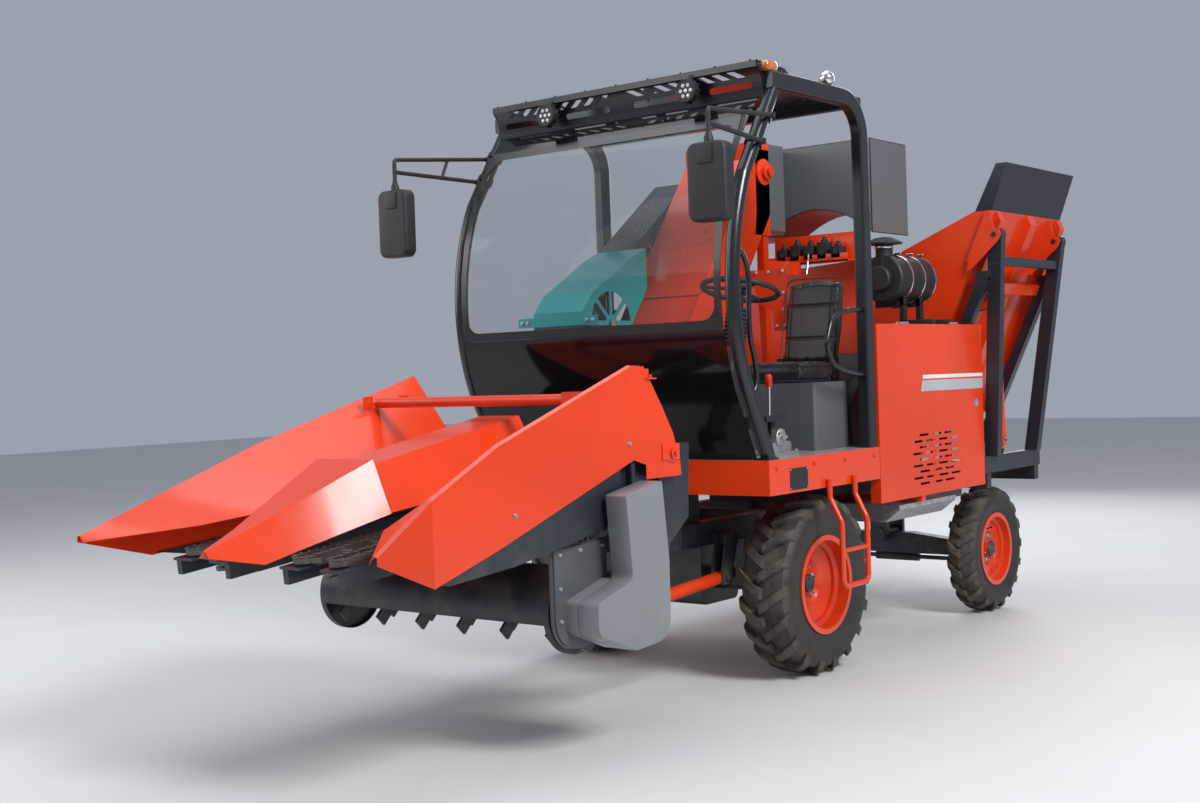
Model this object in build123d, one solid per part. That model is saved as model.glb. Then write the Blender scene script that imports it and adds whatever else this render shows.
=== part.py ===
from build123d import *
import math
import os

# Small two-row corn combine, in millimetres. The machine faces -Y, +X is its
# left side, +Z is up, and the origin is on the ground under the middle of it.

# General clearances and sheets
SEAT = 0.3              # gap between a piece and the seat that carries it
RUN_FIT = 0.05          # radial clearance of a pin or a shaft in its bore
SHEET = 4.0             # sheet steel of covers and panels
PLATE = 10.0            # plate steel of brackets and lugs

# Wheels
FRONT_AXLE_Y = 265.0
WHEELBASE = 2150.0
FRONT_TYRE_D = 900.0
FRONT_TYRE_W = 275.0
FRONT_RIM_D = 495.0
FRONT_TRACK = 1350.0
FRONT_LUG_H = 34.0
FRONT_LUGS = 19
REAR_TYRE_D = 765.0
REAR_TYRE_W = 185.0
REAR_RIM_D = 444.0
REAR_TRACK = 1330.0
REAR_LUG_H = 26.0
REAR_LUGS = 19
RIM_LIP = 18.0          # height of the rim's flange over the bead seat
RIM_SHEET = 8.0
HUB_R = 75.0
HALF_SHAFT_R = 30.0
HALF_SHAFT_IN = 80.0    # length of the half shaft inside its housing

# Steering
KINGPIN_X = 555.0
KINGPIN_R = 18.0
KNUCKLE_EYE_R = 36.0
KNUCKLE_EYE_H = 110.0
STUB_R = 25.0
STEER_ARM = 130.0
TIE_ROD_R = 14.0

# Chassis
RAIL_X = 320.0
RAIL_W = 80.0
RAIL_TOP = 790.0
RAIL_H = 120.0
RAIL_FRONT_Y = -340.0
RAIL_REAR_Y = 2760.0
CROSS_W = 70.0
DRAWBAR_Y = 2825.0
DRAWBAR_Z = 700.0
TOW_PIN_R = 16.0

# Platform
PLATFORM_HALF = 890.0
PLATFORM_TOP = 1116.0
SKIRT_H = 166.0
PLATFORM_FRONT_Y = -385.0
PLATFORM_REAR_Y = 680.0
PLATFORM_BOW = 45.0     # how far the front skirt comes forward at the middle
BEARER_H = 80.0

# Cab
PILLAR_X = 850.0
PILLAR_R = 35.0
PILLAR_FOOT = (-325.0, 1123.0)
PILLAR_KNEE = (-490.0, 1449.0)
PILLAR_MID = (-580.0, 1930.0)
PILLAR_NECK = (-465.0, 2440.0)
PILLAR_TOP = (-195.0, 2850.0)
GLASS_OUT = 40.0        # from the pillar's centre line to the outside of the glass
GLASS_T = 5.0
GLASS_BOTTOM = 1728.0
GLASS_TOP = 2731.0
SCREEN_HALF = 812.0
BAND_T = 4.0
POST_W = 80.0
POST_REAR_Y = 680.0
ROOF_TOP = 2985.0
ROOF_T = 45.0
ROOF_CORNER_R = 190.0
VISOR_REACH = 330.0
VISOR_T = 6.0
VISOR_LIP = 60.0
SLOT_H = 60.0

# Ear elevator
ELEVATOR_X = -230.0
ELEVATOR_W = 480.0
ELEVATOR_D = 300.0
ELEVATOR_RUN = 0.737    # rearward travel for each unit of height
ELEVATOR_FACE_Y = 235.0
ELEVATOR_FACE_Z = 1755.0
ELEVATOR_TOP = 2810.0
ELEVATOR_FOOT = 800.0

# Cleaning fan
FAN_Y = 80.0
FAN_Z = 1815.0
FAN_R = 245.0
FAN_LEFT_X = -375.0
FAN_W = 340.0
FAN_EYE_R = 170.0
FAN_ROTOR_R = 145.0
FAN_SHAFT_R = 20.0
FAN_FLANGE = 105.0
FAN_FOOT = 12.0         # how far the housing's foot lies under the shaft

# Engine bay
ENGINE_LEFT = 640.0
ENGINE_RIGHT = 120.0
ENGINE_FRONT = 800.0
ENGINE_REAR = 1480.0
ENGINE_BOTTOM = 830.0
ENGINE_TOP = 1610.0
PANEL_FRONT_Y = 685.0
PANEL_REAR_Y = 1955.0
PANEL_BOTTOM = 820.0
PANEL_TOP = 1753.0
LOUVRE_ROWS = 9
TIE_H = 34.0             # cross tie that carries a cover's foot
CLEANER_X = 620.0
CLEANER_Z = 2030.0
CLEANER_R = 140.0
CLEANER_L = 440.0
CLEANER_Y = 1325.0

# Ear chute over the elevator head
CHUTE_LEFT = 450.0
CHUTE_RIGHT = -520.0
CHUTE_FRONT = 1440.0
CHUTE_REAR = 1880.0
CHUTE_BOTTOM = 2270.0
CHUTE_TOP = 2900.0

# Bin and its frame
BIN_WALL = 4.0
BIN_FRONT = 1900.0
BIN_REAR = 2935.0
BIN_FLOOR = 1190.0
BIN_TOE_X = 450.0       # where the slanted left wall meets the floor
BIN_EDGE_X = 1000.0     # top edge of the slanted left wall
BIN_EDGE_Z = 2405.0
BIN_RIGHT_X = -850.0
BIN_SHOULDER_Z = 2200.0
BIN_RIM_Z = 2120.0
RIB_D = 45.0
PIVOT_X = 1022.0
PIVOT_Z = 2262.0
PIVOT_R = 15.0
BIN_POST_W = 80.0
BIN_POST_D = 60.0
BIN_POST_FRONT = 1885.0
BIN_POST_REAR = 2785.0
BIN_POST_SPLAY = 160.0  # how much closer together the posts stand at the foot
BEAM_X = 890.0
BEAM_TOP = 980.0
BEAM_H = 100.0
TIP_FOOT_Z = 1040.0
TIP_EYE_X = 868.0
TIP_EYE_Z = 1890.0
TIP_Y = 2180.0
TIP_BARREL_R = 36.0
TIP_ROD_R = 20.0
CYL_EYE_R = 30.0
CYL_EYE_W = 48.0
CYL_PIN_R = 14.0

# Header
HINGE_Y = -600.0
HINGE_Z = 960.0
HINGE_X = 400.0
HINGE_R = 22.0
ROW_X = 330.0
ROW_GAP = 110.0
DECK_Y = -2635.0
DECK_Z = 868.0
DECK_SLOPE = 6.0
DECK_L = 1330.0
CHAIN_W = 90.0
CHAIN_H = 22.0
CHAIN_BAR = 16.0
LUG_REACH = 42.0
LUG_PITCH = 150.0
ROLL_R = 38.0
ROLL_L = 900.0
DIVIDER_T = 3.0
TROUGH_Y = -985.0
TROUGH_Z = 985.0
TROUGH_R = 170.0
TROUGH_HALF = 700.0
AUGER_R = 150.0
AUGER_SHAFT_R = 38.0
AUGER_STUB_R = 20.0
CHOPPER_Y = -1565.0
CHOPPER_Z = 580.0
CHOPPER_R = 175.0
CHOPPER_HALF = 690.0
CHOPPER_BLADES = 4
LIFT_X = 440.0
LIFT_FOOT = (-150.0, 520.0)
LIFT_EYE = (-890.0, 470.0)
LIFT_BARREL_R = 32.0
LIFT_ROD_R = 22.0
LIFT_STROKE = 170.0     # how far the rod still goes in as the header comes down

SIDES = (("left", 1), ("right", -1))

FRONT_RIM_HALF = FRONT_TYRE_W / 2 - 12.5
REAR_RIM_HALF = REAR_TYRE_W / 2 - 12.5
REAR_AXLE_Y = FRONT_AXLE_Y + WHEELBASE
FRONT_AXLE_Z = FRONT_TYRE_D / 2
REAR_AXLE_Z = REAR_TYRE_D / 2


def box(x0, x1, y0, y1, z0, z1):
    """A box between two corners."""
    size = (abs(x1 - x0), abs(y1 - y0), abs(z1 - z0))
    return Pos((x0 + x1) / 2, (y0 + y1) / 2, (z0 + z1) / 2) * Box(*size)


def side_prism(points, x0, x1):
    """A side view outline (Y, Z) drawn out from x0 to x1."""
    face = Plane.YZ.offset(x0) * Polygon(*points, align=None)
    return extrude(face, amount=x1 - x0, dir=(1, 0, 0))


def front_prism(points, y0, y1):
    """A front view outline (X, Z) drawn out from y0 to y1."""
    plane = Plane(origin=(0, y0, 0), x_dir=(1, 0, 0), z_dir=(0, -1, 0))
    face = plane * Polygon(*points, align=None)
    return extrude(face, amount=y1 - y0, dir=(0, 1, 0))


def plan_prism(points, z0, z1):
    """A plan view outline (X, Y) drawn up from z0 to z1."""
    face = Plane.XY.offset(z0) * Polygon(*points, align=None)
    return extrude(face, amount=z1 - z0, dir=(0, 0, 1))


def rod(start, end, radius):
    """A round bar from one point to another."""
    a = Vector(*start)
    b = Vector(*end)
    plane = Plane(origin=a, z_dir=b - a)
    return plane * Cylinder(radius, (b - a).length, align=(Align.CENTER, Align.CENTER, Align.MIN))


def bar(start, end, width, height):
    """A square bar from one point to another, with its width along X."""
    a = Vector(*start)
    b = Vector(*end)
    run = b - a
    side = Vector(1, 0, 0)
    if abs(run.normalized().dot(side)) > 0.9:
        side = Vector(0, 1, 0)
    plane = Plane(origin=a, x_dir=side - run.normalized() * run.normalized().dot(side), z_dir=run)
    return plane * Box(width, height, run.length, align=(Align.CENTER, Align.CENTER, Align.MIN))


def tube_path(points, radius, bend):
    """A round tube through corner points, each corner bent at one radius."""
    path = FilletPolyline(*points, radius=bend)
    return sweep(Plane(path @ 0, z_dir=path % 0) * Circle(radius), path=path)


def join(pieces):
    """All pieces of a list fused to one shape."""
    return Part() + list(pieces)


def group(*pieces):
    """Pieces kept as separate solids of one node."""
    solids = []
    for piece in pieces:
        solids.extend(piece.solids())
    return Compound(children=solids)


# Wheels


def tyre(side, track, axle_y, diameter, width, rim_d, lug_h, lugs):
    """A bar-lug tyre round the X axis, with its lugs out to the full diameter."""
    top = diameter / 2
    carcass = top
    seat = rim_d / 2 - RIM_LIP + SEAT
    half = width / 2
    bead = half - 12.5 - RIM_SHEET - SEAT
    shoulder = half - 14
    outline = make_face([
        Line((-bead, seat), (bead, seat)),
        Line((bead, seat), (bead, seat + RIM_LIP + 4)),
        ThreePointArc((bead, seat + RIM_LIP + 4), (half, (seat + carcass) / 2 + 20), (shoulder, carcass - 18)),
        ThreePointArc((shoulder, carcass - 18), (shoulder * 0.86, carcass - 5), (shoulder * 0.6, carcass)),
        Line((shoulder * 0.6, carcass), (-shoulder * 0.6, carcass)),
        ThreePointArc((-shoulder * 0.6, carcass), (-shoulder * 0.86, carcass - 5), (-shoulder, carcass - 18)),
        ThreePointArc((-shoulder, carcass - 18), (-half, (seat + carcass) / 2 + 20), (-bead, seat + RIM_LIP + 4)),
        Line((-bead, seat + RIM_LIP + 4), (-bead, seat)),
    ])
    body = revolve(outline, Axis.X)
    return Pos(side * track / 2, axle_y, diameter / 2) * body


def rim(side, track, axle_y, axle_z, rim_d, half, dish, bore, hub_depth):
    """A pressed steel rim with its dished disc; the disc's open side faces out."""
    flange = rim_d / 2
    seat = flange - RIM_LIP
    well = seat - 26
    t = RIM_SHEET
    outer = [
        (-half, flange), (-half + t, flange), (-half + t, seat), (-half * 0.45, seat - 4), (-half * 0.35, well),
        (half * 0.35, well), (half * 0.45, seat - 4), (half - t, seat), (half - t, flange), (half, flange),
        (half, seat - t), (half * 0.5, seat - t - 4), (half * 0.4, well - t), (-half * 0.4, well - t),
        (-half * 0.5, seat - t - 4), (-half, seat - t),
    ]
    barrel = revolve(Polygon(*outer, align=None), Axis.X)
    disc_x = half * 0.35 - dish
    disc = [
        (half * 0.2, well - t + 2), (half * 0.2 + t, well - t + 2), (disc_x + t + 22, well * 0.62),
        (disc_x + t, well * 0.5), (disc_x + t, bore), (disc_x, bore), (disc_x, well * 0.5), (disc_x + 20, well * 0.64),
    ]
    plate = revolve(Polygon(*disc, align=None), Axis.X)
    hub = Pos(disc_x - hub_depth / 2, 0, 0) * Rot(0, 90, 0) * Cylinder(HUB_R, hub_depth)
    cap = Pos(disc_x + 20, 0, 0) * Rot(0, 90, 0) * Cylinder(bore - 4, 40)
    shape = join([barrel, plate, hub, cap])
    if side < 0:
        shape = mirror(shape, Plane.YZ)
    return Pos(side * track / 2, axle_y, axle_z) * shape


FRONT_DISH = 70.0
REAR_DISH = 30.0
HUB_DEPTH = 46.0
HUB_BORE = 52.0
FRONT_HUB_IN = FRONT_TRACK / 2 + FRONT_RIM_HALF * 0.35 - FRONT_DISH - HUB_DEPTH
REAR_HUB_IN = REAR_TRACK / 2 + REAR_RIM_HALF * 0.35 - REAR_DISH - HUB_DEPTH


def front_rim(side):
    """The driven rim, its hub and the half shaft that runs in the axle."""
    shape = rim(side, FRONT_TRACK, FRONT_AXLE_Y, FRONT_AXLE_Z, FRONT_RIM_D, FRONT_RIM_HALF, FRONT_DISH, HUB_BORE, HUB_DEPTH)
    shaft = rod((side * (FRONT_HUB_IN - HALF_SHAFT_IN), FRONT_AXLE_Y, FRONT_AXLE_Z),
                (side * (FRONT_HUB_IN + 5), FRONT_AXLE_Y, FRONT_AXLE_Z), HALF_SHAFT_R)
    return join([shape, shaft])


def rear_rim(side):
    """The steered rim with its hub bored for the stub axle."""
    shape = rim(side, REAR_TRACK, REAR_AXLE_Y, REAR_AXLE_Z, REAR_RIM_D, REAR_RIM_HALF, REAR_DISH, HUB_BORE, HUB_DEPTH)
    bore = rod((side * (REAR_HUB_IN - 5), REAR_AXLE_Y, REAR_AXLE_Z),
               (side * (REAR_HUB_IN + HUB_DEPTH - 5), REAR_AXLE_Y, REAR_AXLE_Z), STUB_R + RUN_FIT)
    return shape - bore


# Axles and steering


def drive_axle():
    """The gearbox between the front wheels, with a tube out to each hub."""
    y, z = FRONT_AXLE_Y, FRONT_AXLE_Z
    tube_end = FRONT_HUB_IN - 5
    gearbox = box(-150, 150, y - 170, y + 170, z - 130, RAIL_TOP - RAIL_H - SEAT)
    gearbox = fillet(gearbox.edges().filter_by(Axis.X), 40)
    tube = rod((-tube_end, y, z), (tube_end, y, z), 58)
    pieces = [gearbox, tube]
    for name, side in SIDES:
        pieces.append(rod((side * (tube_end - 45), y, z), (side * tube_end, y, z), 95))
        pieces.append(box(side * (RAIL_X - 30), side * (RAIL_X + 30), y - 60, y + 60, z, RAIL_TOP - RAIL_H - SEAT))
    housing = join(pieces)
    for name, side in SIDES:
        start = side * (FRONT_HUB_IN - HALF_SHAFT_IN - SEAT)
        housing -= rod((start, y, z), (side * (tube_end + 5), y, z), HALF_SHAFT_R + RUN_FIT)
    return housing


AXLE_BEAM_H = 100.0
AXLE_BEAM_W = 90.0


def steer_axle():
    """The rear beam on its centre trunnion, with a kingpin eye at each end."""
    y, z = REAR_AXLE_Y, REAR_AXLE_Z
    reach = KINGPIN_X - KNUCKLE_EYE_R + 8
    half = AXLE_BEAM_H / 2
    beam = front_prism([(-reach, z - half), (reach, z - half), (reach, z + half - 10), (180, z + half + 30),
                        (-180, z + half + 30), (-reach, z + half - 10)], y - AXLE_BEAM_W / 2, y + AXLE_BEAM_W / 2)
    pieces = [beam]
    for name, side in SIDES:
        pieces.append(rod((side * KINGPIN_X, y, z - KNUCKLE_EYE_H / 2), (side * KINGPIN_X, y, z + KNUCKLE_EYE_H / 2), KNUCKLE_EYE_R))
    pieces.append(rod((0, y - 130, z + half + 20), (0, y + 130, z + half + 20), 45))
    for place in (y - 120, y + 90):
        pieces.append(box(-60, 60, place, place + 30, z + half + 20, RAIL_TOP - RAIL_H - SEAT))
        pieces.append(box(-RAIL_X - 40, RAIL_X + 40, place - 15, place + 45, RAIL_TOP - RAIL_H - 50, RAIL_TOP - RAIL_H - SEAT))
    shape = join(pieces)
    for name, side in SIDES:
        shape -= rod((side * KINGPIN_X, y, z - KNUCKLE_EYE_H), (side * KINGPIN_X, y, z + KNUCKLE_EYE_H), KINGPIN_R + RUN_FIT)
    return shape


KNUCKLE_PLATE = 18.0
KNUCKLE_WEB = 50.0


def knuckle(side):
    """A forked knuckle round the kingpin eye, with its stub axle and steering arm."""
    y, z = REAR_AXLE_Y, REAR_AXLE_Z
    x = side * KINGPIN_X
    inner = KNUCKLE_EYE_H / 2 + SEAT
    outer = inner + KNUCKLE_PLATE
    web = side * (KINGPIN_X + KNUCKLE_WEB)
    web_out = side * (REAR_HUB_IN - SEAT)
    pieces = [rod((x, y, z - outer), (x, y, z + outer), KINGPIN_R)]
    for low in (z - outer, z + inner):
        pieces.append(rod((x, y, low), (x, y, low + KNUCKLE_PLATE), KNUCKLE_EYE_R))
        pieces.append(box(x, web_out, y - 32, y + 32, low, low + KNUCKLE_PLATE))
    pieces.append(box(web, web_out, y - 32, y + 32, z - outer, z + outer))
    pieces.append(rod((web, y, z), (side * (REAR_HUB_IN + HUB_DEPTH - 6), y, z), STUB_R))
    pieces.append(box(x - 18, x + 18, y, y + STEER_ARM + 20, z - outer, z - outer + KNUCKLE_PLATE))
    return join(pieces)


def tie_rod():
    """The track rod between the two steering arms, with its steering cylinder."""
    y = REAR_AXLE_Y + STEER_ARM
    top = REAR_AXLE_Z - KNUCKLE_EYE_H / 2 - SEAT - KNUCKLE_PLATE - SEAT
    z = top - 22
    pieces = [rod((-KINGPIN_X, y, z), (KINGPIN_X, y, z), TIE_ROD_R)]
    for name, side in SIDES:
        pieces.append(rod((side * KINGPIN_X, y, top - 44), (side * KINGPIN_X, y, top), 18))
    pieces.append(rod((-150, y, z), (150, y, z), 28))
    return join(pieces)


# Chassis and platform


def chassis_frame():
    """Two rails with cross members, deck bearers, bin frame stools and header brackets."""
    low = RAIL_TOP - RAIL_H
    pieces = []
    for name, side in SIDES:
        pieces.append(box(side * (RAIL_X - RAIL_W / 2), side * (RAIL_X + RAIL_W / 2), RAIL_FRONT_Y, RAIL_REAR_Y, low, RAIL_TOP))
        bracket = [(HINGE_Y - 45, HINGE_Z), (HINGE_Y - 32, HINGE_Z + 32), (HINGE_Y, HINGE_Z + 45), (HINGE_Y + 45, HINGE_Z + 10),
                   (HINGE_Y + 100, RAIL_TOP), (RAIL_FRONT_Y + 60, RAIL_TOP), (RAIL_FRONT_Y + 60, low), (RAIL_FRONT_Y - 140, low)]
        pieces.append(side_prism(bracket, side * RAIL_X, side * (RAIL_X + 30)))
        for place in (RAIL_FRONT_Y + 120, PLATFORM_REAR_Y - 40):
            pieces.append(box(side * (RAIL_X - 30), side * (RAIL_X + 30), place - 30, place + 30, RAIL_TOP, PLATFORM_TOP - SHEET - BEARER_H))
    for place in (RAIL_FRONT_Y + 35, FRONT_AXLE_Y + 300, 1300, 1990, 2700):
        pieces.append(box(-RAIL_X, RAIL_X, place - CROSS_W / 2, place + CROSS_W / 2, low + 10, RAIL_TOP - 10))
    pieces.append(box(-50, 50, 2700, DRAWBAR_Y + 40, DRAWBAR_Z, DRAWBAR_Z + 25))
    frame = join(pieces)
    bearers = []
    deck_under = PLATFORM_TOP - SHEET - SEAT
    for place in (RAIL_FRONT_Y + 120, PLATFORM_REAR_Y - 40):
        bearers.append(box(-PLATFORM_HALF + 20, PLATFORM_HALF - 20, place - 30, place + 30, deck_under - BEARER_H, deck_under))
    frame = join([frame] + bearers)
    reach = ELEVATOR_W / 2 + 8
    frame -= elevator_hull(8)
    for name, side in SIDES:
        pin = side * (HINGE_X)
        frame += rod((side * (RAIL_X + 5), HINGE_Y, HINGE_Z), (side * (HINGE_X + 50), HINGE_Y, HINGE_Z), HINGE_R)
    frame -= rod((0, DRAWBAR_Y, DRAWBAR_Z - 5), (0, DRAWBAR_Y, DRAWBAR_Z + 30), TOW_PIN_R)
    lug_x = LIFT_X
    for shift in (-1, 1):
        inner = lug_x + shift * (CYL_EYE_W / 2 + SEAT)
        frame += side_prism([(LIFT_FOOT[0] + 40, LIFT_FOOT[1] - 34), (LIFT_FOOT[0] - 34, LIFT_FOOT[1] - 34),
                             (LIFT_FOOT[0] - 34, LIFT_FOOT[1] + 34), (LIFT_FOOT[0] + 10, low + 60), (LIFT_FOOT[0] + 120, low + 60)],
                            inner, inner + shift * PLATE)
    frame += box(RAIL_X, lug_x + CYL_EYE_W / 2 + PLATE + SEAT, LIFT_FOOT[0] + 40, LIFT_FOOT[0] + 110, low + 10, low + 60)
    frame += rod((lug_x - CYL_EYE_W, LIFT_FOOT[0], LIFT_FOOT[1]), (lug_x + CYL_EYE_W, LIFT_FOOT[0], LIFT_FOOT[1]), CYL_PIN_R)
    return frame


def elevator_hull(grow):
    """The sloping box of the elevator, grown on all sides."""
    face_foot = ELEVATOR_FACE_Y + ELEVATOR_RUN * (ELEVATOR_FOOT - ELEVATOR_FACE_Z)
    face_top = ELEVATOR_FACE_Y + ELEVATOR_RUN * (ELEVATOR_TOP - ELEVATOR_FACE_Z)
    deep = ELEVATOR_D * math.hypot(1, ELEVATOR_RUN)
    outline = [(face_foot - grow, ELEVATOR_FOOT), (face_top - grow, ELEVATOR_TOP),
               (face_top + deep + grow, ELEVATOR_TOP), (face_foot + deep + grow, ELEVATOR_FOOT)]
    return side_prism(outline, ELEVATOR_X - ELEVATOR_W / 2 - grow, ELEVATOR_X + ELEVATOR_W / 2 + grow)


def platform():
    """The deck with its orange edge beam, bowed at the front and cut for the elevator."""
    half = PLATFORM_HALF
    front, rear = PLATFORM_FRONT_Y, PLATFORM_REAR_Y
    outline = [(-half, rear), (-half, front), (0, front - PLATFORM_BOW), (half, front), (half, rear)]
    slab = plan_prism(outline, PLATFORM_TOP - SKIRT_H, PLATFORM_TOP)
    inside = [(-half + SHEET, rear + 1), (-half + SHEET, front + SHEET), (0, front - PLATFORM_BOW + SHEET),
              (half - SHEET, front + SHEET), (half - SHEET, rear + 1)]
    tray = slab - plan_prism(inside, PLATFORM_TOP - SKIRT_H - 1, PLATFORM_TOP - SHEET)
    return tray - elevator_hull(8)


def step_ladder():
    """The bent tube step that hangs from the platform's left edge."""
    top = PLATFORM_TOP - SKIRT_H + 40
    x_in = PLATFORM_HALF + SEAT + 14
    points = [(x_in, 135, top), (x_in, 135, 900), (x_in + 62, 135, 780), (x_in + 62, 135, 465),
              (x_in + 62, 385, 465), (x_in + 62, 385, 780), (x_in, 385, 900), (x_in, 385, top)]
    tube = tube_path(points, 14, 40)
    rung = rod((x_in + 62, 135, 640), (x_in + 62, 385, 640), 11)
    return join([tube, rung])


# Cab


def arc_centre(a, b, c):
    """Centre and radius of the circle through three points."""
    ax, ay = a
    bx, by = b
    cx, cy = c
    d = 2 * (ax * (by - cy) + bx * (cy - ay) + cx * (ay - by))
    ux = ((ax * ax + ay * ay) * (by - cy) + (bx * bx + by * by) * (cy - ay) + (cx * cx + cy * cy) * (ay - by)) / d
    uy = ((ax * ax + ay * ay) * (cx - bx) + (bx * bx + by * by) * (ax - cx) + (cx * cx + cy * cy) * (bx - ax)) / d
    return (ux, uy), math.hypot(ax - ux, ay - uy)


def screen_y(z, out):
    """How far forward the screen lies at a height, set out from the pillars' centre line."""
    (uy, uz), radius = arc_centre(PILLAR_KNEE, PILLAR_MID, PILLAR_NECK)
    return uy - math.sqrt((radius + out) ** 2 - (z - uz) ** 2)


def screen_strip(out, thick, z_low, z_high, x0, x1):
    """A curved sheet that follows the pillars, cut off level at two heights."""
    (uy, uz), radius = arc_centre(PILLAR_KNEE, PILLAR_MID, PILLAR_NECK)
    outer = Pos(uy, uz) * Circle(radius + out)
    inner = Pos(uy, uz) * Circle(radius + out - thick)
    ring = outer - inner
    window = Pos(uy - radius, (z_low + z_high) / 2) * Rectangle(radius * 1.2, z_high - z_low)
    face = Plane.YZ.offset(x0) * (ring & window)
    return extrude(face, amount=x1 - x0, dir=(1, 0, 0))


def pillar_line():
    """The front pillar's centre line in the side view, from its foot to the roof."""
    foot = Line(PILLAR_FOOT, PILLAR_KNEE)
    bow = ThreePointArc(PILLAR_KNEE, PILLAR_MID, PILLAR_NECK)
    head = Line(PILLAR_NECK, PILLAR_TOP)
    return Wire([foot, bow, head])


def cab_frame():
    """The cab's round front pillars, square rear posts, roof rails and grab rails."""
    pieces = []
    base = PLATFORM_TOP + SEAT
    rail_z = ROOF_TOP - ROOF_T - SEAT - POST_W / 2
    for name, side in SIDES:
        plane = Plane.YZ.offset(side * PILLAR_X)
        path = plane * pillar_line()
        start = Plane(path @ 0, z_dir=path % 0) * Circle(PILLAR_R)
        tube = sweep(start, path=path, transition=Transition.ROUND)
        foot_cut = box(side * PILLAR_X - 100, side * PILLAR_X + 100, -600, 0, 1000, base)
        pieces.append(tube - foot_cut)
        y0, y1 = PILLAR_TOP[0] - 40, POST_REAR_Y - POST_W / 2
        rail = Plane.YZ.offset(side * PILLAR_X) * FilletPolyline((y0, rail_z), (y1, rail_z), (y1, base), radius=ROOF_CORNER_R)
        section = Plane(rail @ 0, x_dir=(1, 0, 0), z_dir=rail % 0) * RectangleRounded(POST_W * 0.8, POST_W, 12)
        pieces.append(sweep(section, path=rail))
        foot = box(side * (PILLAR_X - 35), side * (PILLAR_X + 35), -385, -290, base, base + 10)
        pieces.append(foot)
    pieces.append(rod((-PILLAR_X, PILLAR_TOP[0], PILLAR_TOP[1]), (PILLAR_X, PILLAR_TOP[0], PILLAR_TOP[1]), 25))
    pieces.append(box(-PILLAR_X, PILLAR_X, y1 - 25, y1 + 25, rail_z - 30, rail_z + 20))
    return join(pieces)


def roof():
    """The black roof sheet with rolled sides and the slotted visor in front of it."""
    rear = POST_REAR_Y
    front = PILLAR_TOP[0] - 60
    half = PILLAR_X + 30
    low = ROOF_TOP - ROOF_T
    shell = box(-half, half, front, rear, low, ROOF_TOP)
    shell = fillet(shell.edges().filter_by(Axis.Y).group_by(Axis.Z)[-1], 30)
    hollow = box(-half + 30, half - 30, front + 20, rear - 20, low - 1, ROOF_TOP - SHEET)
    shell -= hollow
    reach = front - VISOR_REACH
    visor = box(-825, 825, reach, front, ROOF_TOP - 12 - VISOR_T, ROOF_TOP - 12)
    lip = box(-825, 825, reach, reach + VISOR_T, ROOF_TOP - 12 - VISOR_LIP, ROOF_TOP - 12)
    pieces = [shell, visor, lip]
    for x in (-800, -270, 270, 800):
        pieces.append(side_prism([(front, low + 5), (front, ROOF_TOP - 12), (reach, ROOF_TOP - 12), (reach, ROOF_TOP - 12 - VISOR_LIP)],
                                 x - 3, x + 3))
    shape = join(pieces)
    for y in (reach + 60, reach + 180):
        for x in (-540, 0, 540):
            shape -= box(x - 225, x + 225, y, y + SLOT_H, ROOF_TOP - 40, ROOF_TOP)
    return shape


def windshield():
    """The one curved front glass."""
    return screen_strip(GLASS_OUT, GLASS_T, GLASS_BOTTOM + SEAT, GLASS_TOP - SEAT, -SCREEN_HALF, SCREEN_HALF)


def front_panel():
    """The black lower front of the cab and the band over the glass."""
    lower = screen_strip(GLASS_OUT, BAND_T, PILLAR_KNEE[1], GLASS_BOTTOM, -SCREEN_HALF, SCREEN_HALF)
    knee_y = screen_y(PILLAR_KNEE[1], GLASS_OUT)
    foot_y = PILLAR_FOOT[0] - GLASS_OUT
    toe = [(knee_y, PILLAR_KNEE[1] + 1), (foot_y, PLATFORM_TOP + SEAT),
           (foot_y + BAND_T, PLATFORM_TOP + SEAT), (knee_y + BAND_T, PILLAR_KNEE[1] + 1)]
    skirt = side_prism(toe, -SCREEN_HALF, SCREEN_HALF)
    band = screen_strip(GLASS_OUT, BAND_T, GLASS_TOP, GLASS_TOP + 90, -SCREEN_HALF, SCREEN_HALF)
    return group(join([lower, skirt]), band)


def mirrors():
    """A mirror head on a bent tube bracket each side."""
    shapes = []
    for name, side in SIDES:
        x = side * 1000
        arm = tube_path([(side * (PILLAR_X + PILLAR_R + SEAT), -400, 2600), (x, -640, 2650), (x, -930, 2640), (x, -930, 2420)], 11, 30)
        head = Pos(x, -950, 2270) * Box(185, 40, 320)
        head = fillet(head.edges().filter_by(Axis.Y), 40)
        shapes.append(join([arm, head]))
    return group(*shapes)


def lamps():
    """Two round work lamps on the visor, an indicator and a ball lamp on the roof."""
    front = PILLAR_TOP[0] - 60 - VISOR_REACH
    z = ROOF_TOP - 12 - VISOR_LIP - 56
    shapes = []
    for x in (-400, 470):
        lamp = Pos(x, front - 10, z) * Rot(90, 0, 0) * Cylinder(52, 45)
        stem = box(x - 12, x + 12, front - 12, front - SEAT, z + 30, ROOF_TOP - 20)
        shapes.append(join([lamp, stem]))
    shapes.append(Pos(800, -120, ROOF_TOP + SEAT) * Cylinder(35, 55, align=(Align.CENTER, Align.CENTER, Align.MIN)))
    ball = Pos(800, 400, ROOF_TOP + 62) * Sphere(42)
    foot = Pos(800, 400, ROOF_TOP + SEAT) * Cylinder(14, 40, align=(Align.CENTER, Align.CENTER, Align.MIN))
    shapes.append(join([ball, foot]))
    return group(*shapes)


SEAT_BOX_H = 345.0
SEAT_X = 470.0


def seat_box():
    """The grey locker under the driver's seat."""
    base = PLATFORM_TOP + SEAT
    shell = box(220, 720, 330, PLATFORM_REAR_Y - 10, base, base + SEAT_BOX_H)
    return fillet(shell.edges().filter_by(Axis.Z), 15)


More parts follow.
